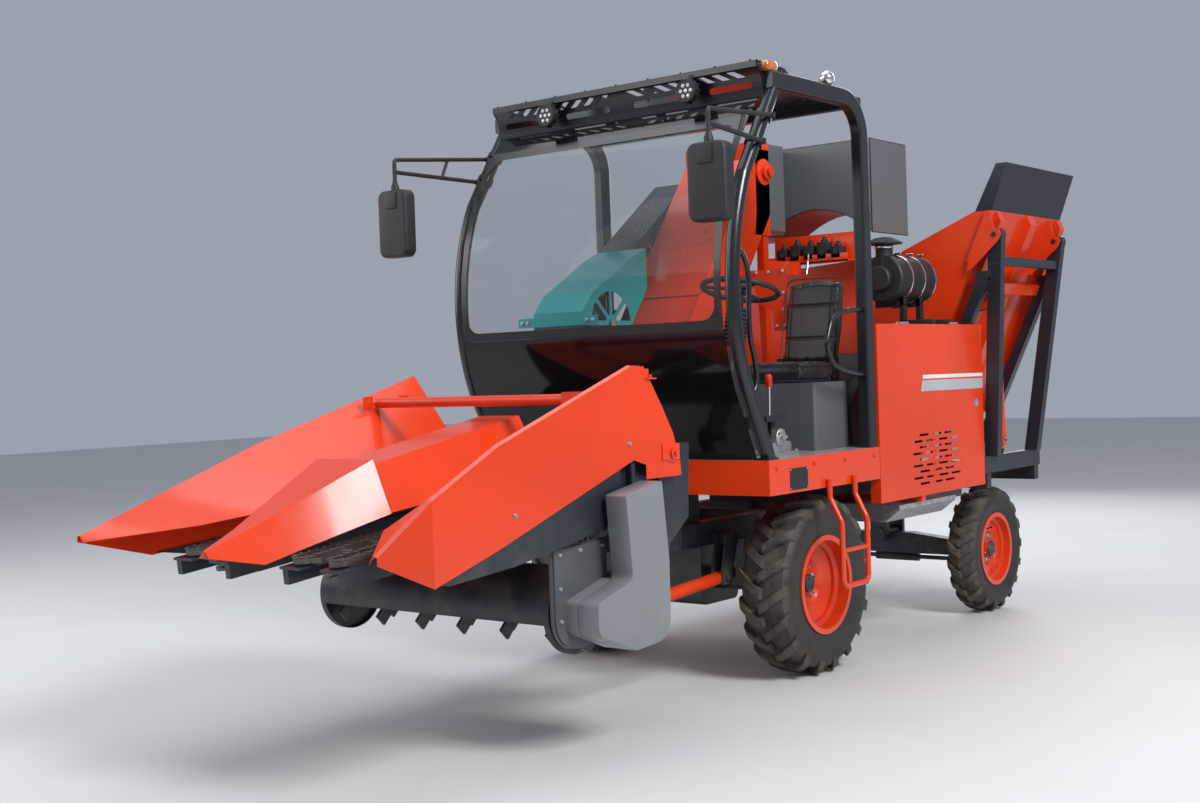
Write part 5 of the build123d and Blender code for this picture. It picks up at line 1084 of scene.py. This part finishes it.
class COMBINE_OT_covers(bpy.types.Operator):
    """Folded engine covers with their rows of slots, stripes, hinges and lock"""

    bl_idname = "combine.covers"
    bl_label = "Engine covers"

    def execute(self, context):
        low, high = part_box("engine_panels")
        thick, bottom, top = 0.004, low.z + 0.03, high.z
        cutter = bmesh.new()
        for row in range(9):
            count, start = (3, 1.134) if row % 2 == 0 else (4, 1.058)
            for k in range(count):
                y, z = start + 0.152 * k + 0.0575, 1.150 - 0.033 * row
                prism(cutter, "X", [(y + p, z + q) for p, q in rounded(0.115, 0.0125, 0.006, 3)],
                      high.x - 0.02, high.x + 0.02)
        made = []
        # side, rear end of the sheet
        for side, rear in ((1, 1.955), (-1, 1.888)):
            outer = side * high.x
            skin = outer - side * thick
            bm = bmesh.new()
            block(bm, (skin, low.y, bottom), (outer, rear, top))
            sheet = piece("engine_cover_%d" % side, bm, "orange")
            if side > 0:
                cut_out(sheet, cutter)
            bm = bmesh.new()
            block(bm, (outer - side * 0.06, low.y, top - thick), (skin, 1.873, top))
            block(bm, (outer - side * 0.06, low.y, bottom), (skin, low.y + thick, top - thick))
            block(bm, (outer - side * 0.03, rear - thick, bottom), (skin, rear, top - thick))
            block(bm, (side * 0.32, 1.15, low.z), (skin, 1.20, low.z + 0.034), 0.004)
            for y in (0.85, 1.30, 1.70):
                block(bm, (outer - side * 0.022, y, low.z + 0.06), (skin, y + 0.03, top - 0.02), 0.003)
            made += [sheet, piece("cover_flanges_%d" % side, bm, "orange")]
        covers = joined(made)
        covers.name = "engine_covers"
        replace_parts(covers, "engine_panels")

        skin = high.x + 0.0003
        for name, look, outline in (
                ("stripe_light", "white",
                 ((1.196, 1.476), (1.9535, 1.4715), (1.9535, 1.452), (1.191, 1.455))),
                ("stripe_silver", "silver",
                 ((1.188, 1.447), (1.9535, 1.442), (1.9535, 1.383), (1.168, 1.387)))):
            bm = bmesh.new()
            prism(bm, "X", outline, skin, skin + 0.0006)
            piece(name, bm, look)
        bm = bmesh.new()
        for y in (0.955, 1.555):
            block(bm, (0.846, y, top + 0.0003), (0.888, y + 0.085, top + 0.0043), 0.0015)
            lathe(bm, aim((0.888, y - 0.002, top + 0.0060), BACK), ((0.0055, 0.0), (0.0055, 0.089)), 14)
        piece("cover_hinges", bm, "zinc", 40)
        bolts("hinge_bolts", facing(UP, [(0.862, y, top + 0.0043)
                                         for y in (0.970, 1.022, 1.570, 1.622)]), 0.011)
        bm = bmesh.new()
        lathe(bm, aim((skin, 1.86, 1.30), LEFT), (
            (0.024, 0.0), (0.024, 0.003), (0.021, 0.005), (0.010, 0.005), (0.009, 0.003), (0.0, 0.003)), 24)
        piece("cover_lock", bm, "zinc", 40)
        return {"FINISHED"}


def link_path(count):
    """Places and headings round a gathering chain's loop on its own flat plane, and the links' pitch."""
    straight, radius, start = 1.240, 0.037, 0.045
    bend = math.pi * radius
    length = 2 * straight + 2 * bend
    spots = []
    for k in range(count):
        run = length * k / count
        hand, heading = 1, math.pi / 2
        if run >= straight + bend:
            run, hand, heading = run - straight - bend, -1, -math.pi / 2
        if run < straight:
            spots.append((hand * radius, start + (run if hand > 0 else straight - run), heading))
        else:
            turn = (run - straight) / radius
            far = start + straight if hand > 0 else start
            spots.append((hand * radius * math.cos(turn), far + hand * radius * math.sin(turn),
                          heading + turn))
    return spots, length / count


class COMBINE_OT_chains(bpy.types.Operator):
    """Link plates and pin heads of the gathering chains"""

    bl_idname = "combine.chains"
    bl_label = "Chain links"

    def execute(self, context):
        spots, pitch = link_path(sizes().link_count)
        eye, waist, plate_top = 0.0105, 0.0072, 0.0036
        outline = []
        link = bmesh.new()
        for end in (1, -1):
            for turn in (math.radians(-75 + 37.5 * k) for k in range(5)):
                outline.append((end * (pitch / 2 + eye * math.cos(turn)), end * eye * math.sin(turn)))
            outline.append((0.0, end * waist))
        prism(link, "Z", outline, 0.0003, plate_top)
        for end in (1, -1):
            lathe(link, Matrix.Translation((end * pitch / 2, 0, plate_top)),
                  ((0.0052, 0.0), (0.0052, 0.0042), (0.0040, 0.0050)), 8)
        bmesh.ops.recalc_face_normals(link, faces=link.faces)
        slope, lift = math.radians(6.0), 0.006 + 0.022
        row_x, chain_x, low_y, low_z = 0.330, 0.100, -2.635, 0.868
        places = []
        for row in (-1, 1):
            for hand in (-1, 1):
                start = (row * row_x + hand * chain_x,
                         low_y - lift * math.sin(slope), low_z + lift * math.cos(slope))
                deck = Matrix.Translation(start) @ Matrix.Rotation(slope, 4, "X")
                for k, (px, py, turn) in enumerate(spots):
                    rise = 0.0018 if k % 2 else 0.0
                    places.append(deck @ Matrix.Translation((px, py, rise)) @ Matrix.Rotation(turn, 4, "Z"))
        settle(copies("chain_links", mesh_from("link", link), places), "chain", "header")
        return {"FINISHED"}


def stuffed(name, half, stands, turn):
    """A pad with full sides, blown up as cloth under pressure."""
    round_part, corner_pull, most_swell = 0.22, 0.045, 0.012
    bm = bmesh.new()
    bmesh.ops.create_cube(bm, size=2)
    bmesh.ops.subdivide_edges(bm, edges=bm.edges[:], cuts=12, use_grid_fill=True)
    for v in bm.verts:
        p = Vector(v.co)
        pull = 1.0 - corner_pull * (p.x * p.x) * (p.z * p.z if stands else p.y * p.y)
        q = p.lerp(p.normalized() * max(abs(p.x), abs(p.y), abs(p.z)), round_part) * pull
        v.co = Vector((q.x * half[0], q.y * half[1], q.z * half[2]))
    pad = link_in(name, mesh_from(name, bm))
    pad.data.transform(turn)
    apply_modifier(pad, "REMESH", mode="VOXEL", voxel_size=0.006)
    rest = [v.co.copy() for v in pad.data.vertices]
    scene = bpy.context.scene
    cloth = pad.modifiers.new("CLOTH", "CLOTH")
    cloth.settings.use_pressure = True
    cloth.settings.uniform_pressure_force = 4.0
    cloth.settings.effector_weights.gravity = 0.0
    cloth.settings.tension_stiffness = 18.0
    for step in range(1, 21):
        scene.frame_set(step)
    bpy.ops.object.modifier_apply(modifier="CLOTH")
    scene.frame_set(1)
    for v, start in zip(pad.data.vertices, rest):
        move = v.co - start
        if move.length > most_swell:
            v.co = start + move.normalized() * most_swell
    return pad


def seams(depth, value, lines, width=0.006):
    """How far the seams along these lines pull the cover in at a place."""
    return sum(depth * math.exp(-((value - line) / width) ** 2) for line in lines)


def sew(pad, stands, turn):
    """Pulls in the seams of a standing pad's front or of a lying one's top."""
    across, along = 0.0065, 0.0055
    back = turn.inverted()
    for v in pad.data.vertices:
        p = back @ v.co
        if stands and p.y < 0:
            p.y += seams(across, p.z, (-0.09, 0.09)) + seams(along, p.x, (-0.125, 0.125)) * (abs(p.z) < 0.2)
        elif not stands and p.z > 0:
            p.z -= seams(across, p.y, (-0.07, 0.06)) + seams(along, p.x, (-0.135, 0.135))
        v.co = turn @ p


class COMBINE_OT_seat(bpy.types.Operator):
    """The driver's seat: padded cushion and backrest with seams and piping, and the pan under them"""

    bl_idname = "combine.seat"
    bl_label = "Seat"

    def execute(self, context):
        low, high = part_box("seat")
        middle = (low.x + high.x) / 2
        # name, whether it stands, centre, half sizes, lean
        for name, stands, centre, half, lean in (
                ("seat_cushion", False, (middle, 0.482, low.z + 0.056), (0.200, 0.182, 0.043), 0.0),
                ("seat_back", True, (middle, 0.770, low.z + 0.312), (0.178, 0.034, 0.248), -12.0)):
            turn = Matrix.Translation(centre) @ Matrix.Rotation(math.radians(lean), 4, "X")
            pad = stuffed(name, half, stands, turn)
            sew(pad, stands, turn)
            apply_modifier(pad, "SUBSURF", levels=1, render_levels=1)
            bpy.ops.object.shade_smooth()
            settle(pad, "vinyl")
            if not stands:
                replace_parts(pad, "seat")
            rim = [turn @ Vector((p, 0.004 - half[1], q) if stands else (p, q, half[2] - 0.004))
                   for p, q in rounded(2 * half[0] - 0.01, 2 * half[2 if stands else 1] - 0.01, 0.05, 5)]
            rod_piece(name + "_piping", rim + rim[:1], 0.0035, "vinyl")
        bm = bmesh.new()
        block(bm, (middle - 0.17, 0.33, low.z + 0.0003), (middle + 0.17, 0.64, low.z + 0.016), 0.004)
        for x in (middle - 0.175, middle + 0.165):
            block(bm, (x, 0.66, low.z + 0.01), (x + 0.010, 0.72, low.z + 0.13), 0.003)
        piece("seat_pan", bm, "frame")
        return {"FINISHED"}


class COMBINE_OT_controls(bpy.types.Operator):
    """Control valve, levers and pedals in the cab, and the steering wheel's hub cover and boot"""

    bl_idname = "combine.controls"
    bl_label = "Controls"

    def execute(self, context):
        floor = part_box("seat_box")[0].z

        def at(x, y, height):
            return x, y, floor + height

        bm = bmesh.new()
        for low, high, edge in ((at(0.575, -0.075, 0), at(0.725, 0.165, 0.012), 0.003),
                                (at(0.600, -0.040, 0.012), at(0.700, 0.130, 0.062), 0.010),
                                (at(0.615, -0.015, 0.060), at(0.690, 0.070, 0.105), 0.012)):
            block(bm, low, high, edge)
        lathe(bm, aim(at(0.700, 0.015, 0.085), LEFT), (
            (0.044, -0.02), (0.044, 0.012), (0.036, 0.018), (0.018, 0.018), (0.016, 0.030), (0.0, 0.031)), 28)
        lathe(bm, aim(at(0.655, 0.100, 0.060), (0, 0.4, 1)),
              ((0.022, 0.0), (0.020, 0.035), (0.011, 0.045), (0.011, 0.060)), 20)
        piece("control_valve", bm, "cast_light", 40)
        bolts("valve_bolts", facing(UP, [at(x, y, 0.012) for x in (0.590, 0.712) for y in (-0.060, 0.150)])
              + facing(LEFT, [at(0.7185, 0.045, 0.085), at(0.7185, -0.012, 0.105)]), 0.014)
        bm = bmesh.new()
        block(bm, at(0.640, -0.115, 0.165), at(0.715, 0.065, 0.195), 0.008)
        block(bm, at(0.655, -0.020, 0.100), at(0.680, 0.015, 0.170), 0.004)
        piece("lever_gate", bm, "plastic", 40)
        rod_piece("valve_lever",
                  (at(0.690, -0.055, 0.190), at(0.696, -0.058, 0.285), at(0.700, -0.064, 0.345)),
                  0.0075, "rod", True)
        bm = bmesh.new()
        lathe(bm, aim(at(0.700, -0.064, 0.335), (0.02, -0.05, 1)),
              ((0.013, 0.0), (0.017, 0.012), (0.0175, 0.050), (0.012, 0.062), (0.0, 0.064)), 20)
        piece("lever_grip", bm, "red_plastic", 50)
        for number, (x, y, lean) in enumerate(((0.345, -0.06, 0.05), (0.300, -0.06, 0.02))):
            top = at(x, y + lean, 0.62)
            rod_piece("hand_lever_%d" % number, (at(x, y - 0.02, 0), at(x, y, 0.35), top), 0.008, "rod", True)
            bm = bmesh.new()
            lathe(bm, aim(top, (0, 0.05, 1)),
                  ((0.010, -0.02), (0.021, 0.0), (0.024, 0.018), (0.016, 0.038), (0.0, 0.042)), 20)
            piece("lever_knob_%d" % number, bm, "plastic", 50)
        for number, x in enumerate((0.385, 0.640)):
            rod_piece("pedal_arm_%d" % number,
                      (at(x, -0.300, 0.012), at(x, -0.250, 0.10), at(x, -0.185, 0.155)),
                      0.009, "frame", True)
            bm = bmesh.new()
            tilt = Matrix.Translation(at(x, -0.175, 0.165)) @ Matrix.Rotation(math.radians(35), 4, "X")
            cube(bm, tilt, (0.075, 0.085, 0.010))
            for k in range(5):
                cube(bm, tilt @ Matrix.Translation((0, -0.032 + 0.016 * k, 0.007)), (0.070, 0.006, 0.006))
            piece("pedal_%d" % number, bm, "plastic")
        hub, column_foot = Vector((0.470, 0.060, 1.940)), Vector((0.470, -0.160, 1.1163))
        along = (hub - column_foot).normalized()
        bm = bmesh.new()
        lathe(bm, aim(hub, along),
              ((0.039, -0.012), (0.047, 0.008), (0.047, 0.020), (0.036, 0.030), (0.012, 0.033),
               (0.0, 0.033)), 28)
        for k in range(9):
            lathe(bm, aim(hub - along * (0.285 - 0.021 * k), along),
                  ((0.0555, 0.0), (0.0600, 0.006), (0.0600, 0.010), (0.0555, 0.016)), 24)
        piece("wheel_hub_cover", bm, "plastic", 40)
        return {"FINISHED"}


class COMBINE_OT_fastenings(bpy.types.Operator):
    """Bolt heads where the machine's plates and brackets are screwed together"""

    bl_idname = "combine.fastenings"
    bl_label = "Bolts"

    def execute(self, context):
        bolts("visor_bolts", facing(UP, [(-0.80 + 0.20 * k, -0.2960, ROOF_TOP) for k in range(9)]),
              0.010, "cab")
        low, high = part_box("fan_housing")
        bolts("fan_bolts", facing(AHEAD, [(x, low.y, 1.828) for x in (
            low.x + 0.03, high.x - 0.03, low.x + 0.07, high.x - 0.07)]), sizes().bolt_across)
        bolts("valve_plate_bolts", facing(AHEAD, [(x, 0.7757, z) for x, z in (
            (0.03, 2.030), (0.11, 2.070), (0.19, 2.070), (0.28, 2.070), (0.28, 1.95), (0.28, 1.86),
            (0.235, 1.77), (0.285, 1.77), (0.14, 1.925))]), 0.017)
        flange_z = 2.262
        bolts("elevator_bolts", facing((0, -1, ELEVATOR_RUN), [
            (-0.445 + 0.062 * k, elevator_face(flange_z, -0.0005), flange_z) for k in range(8)]),
            0.013, "orange")
        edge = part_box("platform")[1].x + 0.0003
        bolts("deck_bolts", [((side * edge, y, 1.075), (side, 0, 0)) for y in (-0.32, 0.02, 0.32, 0.62)
                             for side in (1, -1)], 0.016, "orange")
        bolts("divider_bolts", facing(LEFT, [(0.8153, -1.34, 1.25), (0.8153, -2.06, 1.02)])
              + facing(-LEFT, [(-0.7903, -1.95, 0.98), (-0.7903, -1.20, 1.45)]), 0.016, body="header")
        bolts("case_bolts", facing(LEFT, [(0.7803, y, z) for y, z in (
            (-1.770, 0.835), (-1.640, 0.840), (-1.500, 0.845), (-1.770, 0.700), (-1.770, 0.570))]), 0.014,
            body="header")
        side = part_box("chute_hood")[1].x + 0.0003
        bolts("hood_bolts", facing(LEFT, [(side, 1.47, z) for z in (2.37, 2.50, 2.63, 2.76)]), 0.013)
        bolts("frame_bolts", facing(AHEAD, [(x + dx, y - 0.0003, 0.93) for y in (1.885, 2.785)
                                            for x in (0.72, -0.72) for dx in (-0.02, 0.02)]), 0.018)
        return {"FINISHED"}


class COMBINE_OT_trim(bpy.types.Operator):
    """Elevator handle and lifting ring, blank data plate, air cleaner clamps, valve bank and cylinder pipe"""

    bl_idname = "combine.trim"
    bl_label = "Small fittings"

    def execute(self, context):
        face, proud = elevator_face, -0.045
        rod_piece("elevator_handle", ((-0.12, face(2.30), 2.30), (-0.12, face(2.30, proud), 2.32),
                                      (-0.02, face(2.36, proud), 2.37), (-0.02, face(2.36), 2.36)),
                  0.007, "orange", True)
        ring = (Matrix.Translation((-0.497, face(2.24, -0.004), 2.247))
                @ Matrix.Rotation(math.radians(36), 4, "X"))
        ring_radius, wire = 0.026, 0.0065
        rows = []
        for turn in (2 * math.pi * k / 20 for k in range(20)):
            out = Vector((math.cos(turn), 0.0, math.sin(turn)))
            rows.append([ring @ (out * ring_radius + (out * math.cos(tilt) + BACK * math.sin(tilt)) * wire)
                         for tilt in (2 * math.pi * j / 8 for j in range(8))])
        bm = bmesh.new()
        ring_skin(bm, rows)
        piece("elevator_ring", bm, "orange", 60)

        bm = bmesh.new()
        block(bm, (0.8903, -0.206, 0.962), (0.8918, -0.044, 1.066), 0.0006)
        piece("data_plate", bm, "cab")
        bm = bmesh.new()
        for y in (-0.199, -0.051):
            for z in (0.969, 1.059):
                lathe(bm, aim((0.8918, y, z), LEFT), ((0.0045, 0.0), (0.0038, 0.0018), (0.0, 0.0024)), 10)
        piece("plate_rivets", bm, "zinc", 50)

        x, z, reach = CLEANER_X, CLEANER_Z, 0.136
        bm = bmesh.new()
        for y in (1.382, 1.532, 1.666):
            lathe(bm, aim((x, y - 0.002, z), BACK), (
                (reach + 0.0008, 0.0), (reach + 0.0022, 0.002), (reach + 0.0022, 0.014),
                (reach + 0.0008, 0.016)), 48)
            block(bm, (x + 0.02, y - 0.003, z + reach - 0.002),
                  (x + 0.062, y + 0.017, z + reach + 0.012), 0.003)
        lathe(bm, aim((x, 1.304, z + 0.170), UP),
              ((0.054, 0.0), (0.055, 0.002), (0.055, 0.011), (0.054, 0.013)), 30)
        piece("cleaner_clamps", bm, "rod", 40)
        bm = bmesh.new()
        for k in range(10):
            lathe(bm, aim((x, 1.300 + 0.034 * k, z), BACK),
                  ((0.1320, 0.0), (0.1336, 0.004), (0.1336, 0.012), (0.1320, 0.016)), 40)
        piece("cleaner_ribs", bm, "plastic", 40)

        bm = bmesh.new()
        for k, tall in enumerate((0.075, 0.095, 0.085, 0.100, 0.070)):
            x, base = 0.075 + 0.088 * k, 2.140
            block(bm, (x - 0.033, 1.100, base), (x + 0.033, 1.172, base + tall), 0.006)
            lathe(bm, aim((x, 1.136, base + tall), UP),
                  ((0.020, -0.002), (0.020, 0.014), (0.012, 0.018), (0.012, 0.030)), 18)
            lathe(bm, aim((x, 1.100, 2.175), AHEAD), ((0.016, -0.002), (0.016, 0.012), (0.010, 0.016)), 6)
        piece("valve_bank", bm, "plastic", 40)
        rod_piece("valve_bank_lever", ((0.262, 1.090, 2.170), (0.270, 1.060, 2.120), (0.272, 1.045, 2.060)),
                  0.006, "rod", True)

        rod_piece("cylinder_pipe", ((0.886, 2.216, 1.080), (0.886, 2.228, 1.14), (0.878, 2.228, 1.70),
                                    (0.874, 2.212, 1.76)), 0.006, "orange", True, "tip_barrel")
        bm = bmesh.new()
        for part in (0.25, 0.55, 0.85):
            z = 1.10 + 0.66 * part
            block(bm, (0.868, 2.205, z - 0.010), (0.892, 2.236, z + 0.010), 0.003)
        piece("cylinder_clips", bm, "orange", body="tip_barrel")
        return {"FINISHED"}


class COMBINE_OT_stage(bpy.types.Operator):
    """Floor, lights and the camera"""

    bl_idname = "combine.stage"
    bl_label = "Stage"

    def execute(self, context):
        scene = context.scene
        bpy.ops.object.select_all(action="DESELECT")
        bpy.ops.mesh.primitive_plane_add(size=60, location=(0, 0, 0))
        floor = context.object
        floor.name = "floor"
        ground = Finish("studio_floor", (0.62, 0.62, 0.61), 0.75)
        ground.feed("Base Color", ground.mix(
            ground.noise(1.2, 5.0, 0.6), (0.60, 0.60, 0.595), (0.66, 0.66, 0.655)))
        floor.data.materials.append(ground.material)

        world = bpy.data.worlds.new("studio")
        world.use_nodes = True
        sky = world.node_tree.nodes["Background"].inputs
        sky["Color"].default_value = (0.78, 0.86, 1.0, 1)
        sky["Strength"].default_value = 0.42
        scene.world = world
        scene.view_settings.view_transform = "Standard"
        aim_point = Vector((0, 0, 1.2))
        # name, place, size, power
        for name, place, size, power in (
                ("key_light", (8.0, -2.0, 7.5), 3.2, sizes().key_power),
                ("front_light", (-4.0, -9.0, 6.5), 6.0, 260),
                ("top_light", (-1.0, 0.5, 8.0), 6.0, 200), ("side_light", (-7.5, -4.0, 4.0), 4.0, 160),
                ("back_light", (-2.0, 9.0, 5.0), 4.0, 260)):
            lamp = bpy.data.lights.new(name, "AREA")
            lamp.size = size
            lamp.energy = power
            holder = link_in(name, lamp)
            holder.location = place
            holder.rotation_euler = (aim_point - Vector(place)).to_track_quat("-Z", "Y").to_euler()

        # the photograph's own viewpoint
        yaw, pitch, roll = math.radians(38.775), math.radians(1.1476), math.radians(1.968)
        ahead = Vector((-math.sin(yaw) * math.cos(pitch), math.cos(yaw) * math.cos(pitch), -math.sin(pitch)))
        level = Vector((math.cos(yaw), math.sin(yaw), 0))
        down = ahead.cross(level)
        across = math.cos(roll) * level + math.sin(roll) * down
        below = -math.sin(roll) * level + math.cos(roll) * down
        camera = link_in("camera", bpy.data.cameras.new("camera"))
        turn = Matrix((across, -below, -ahead)).transposed().to_4x4()
        camera.matrix_world = Matrix.Translation((4.604, -6.2396, 1.5543)) @ turn
        camera.data.sensor_width = 36.0
        camera.data.lens = 44.77
        scene.camera = camera
        return {"FINISHED"}


class COMBINE_PT_panel(bpy.types.Panel):
    """The machine's pieces, sizes and colours"""

    bl_idname = "COMBINE_PT_panel"
    bl_label = "Corn Combine"
    bl_space_type = "VIEW_3D"
    bl_region_type = "UI"
    bl_category = "Corn Combine"

    def draw(self, context):
        layout = self.layout
        for operator in OPERATORS:
            layout.operator(operator.bl_idname)
        for group in (context.scene.combine_sizes, context.scene.combine_colours):
            for key in type(group).__annotations__:
                layout.prop(group, key)


OPERATORS = (
    COMBINE_OT_paint, COMBINE_OT_tyres, COMBINE_OT_roof, COMBINE_OT_brackets, COMBINE_OT_header,
    COMBINE_OT_elevator, COMBINE_OT_screen, COMBINE_OT_lamps, COMBINE_OT_mirrors, COMBINE_OT_wheels,
    COMBINE_OT_covers, COMBINE_OT_chains, COMBINE_OT_seat, COMBINE_OT_controls, COMBINE_OT_fastenings,
    COMBINE_OT_trim, COMBINE_OT_stage,
)
CLASSES = (CombineSizes, CombineColours) + OPERATORS + (COMBINE_PT_panel,)


def register():
    for cls in CLASSES:
        bpy.utils.register_class(cls)
    bpy.types.Scene.combine_sizes = bpy.props.PointerProperty(type=CombineSizes)
    bpy.types.Scene.combine_colours = bpy.props.PointerProperty(type=CombineColours)


def unregister():
    del bpy.types.Scene.combine_colours
    del bpy.types.Scene.combine_sizes
    for cls in reversed(CLASSES):
        bpy.utils.unregister_class(cls)


def main():
    register()
    bpy.ops.combine.paint()
    bpy.ops.combine.tyres()
    bpy.ops.combine.roof()
    bpy.ops.combine.brackets()
    bpy.ops.combine.header()
    bpy.ops.combine.elevator()
    bpy.ops.combine.screen()
    bpy.ops.combine.lamps()
    bpy.ops.combine.mirrors()
    bpy.ops.combine.wheels()
    bpy.ops.combine.covers()
    bpy.ops.combine.chains()
    bpy.ops.combine.seat()
    bpy.ops.combine.controls()
    bpy.ops.combine.fastenings()
    bpy.ops.combine.trim()
    bpy.ops.combine.stage()


if __name__ == "__main__":
    main()
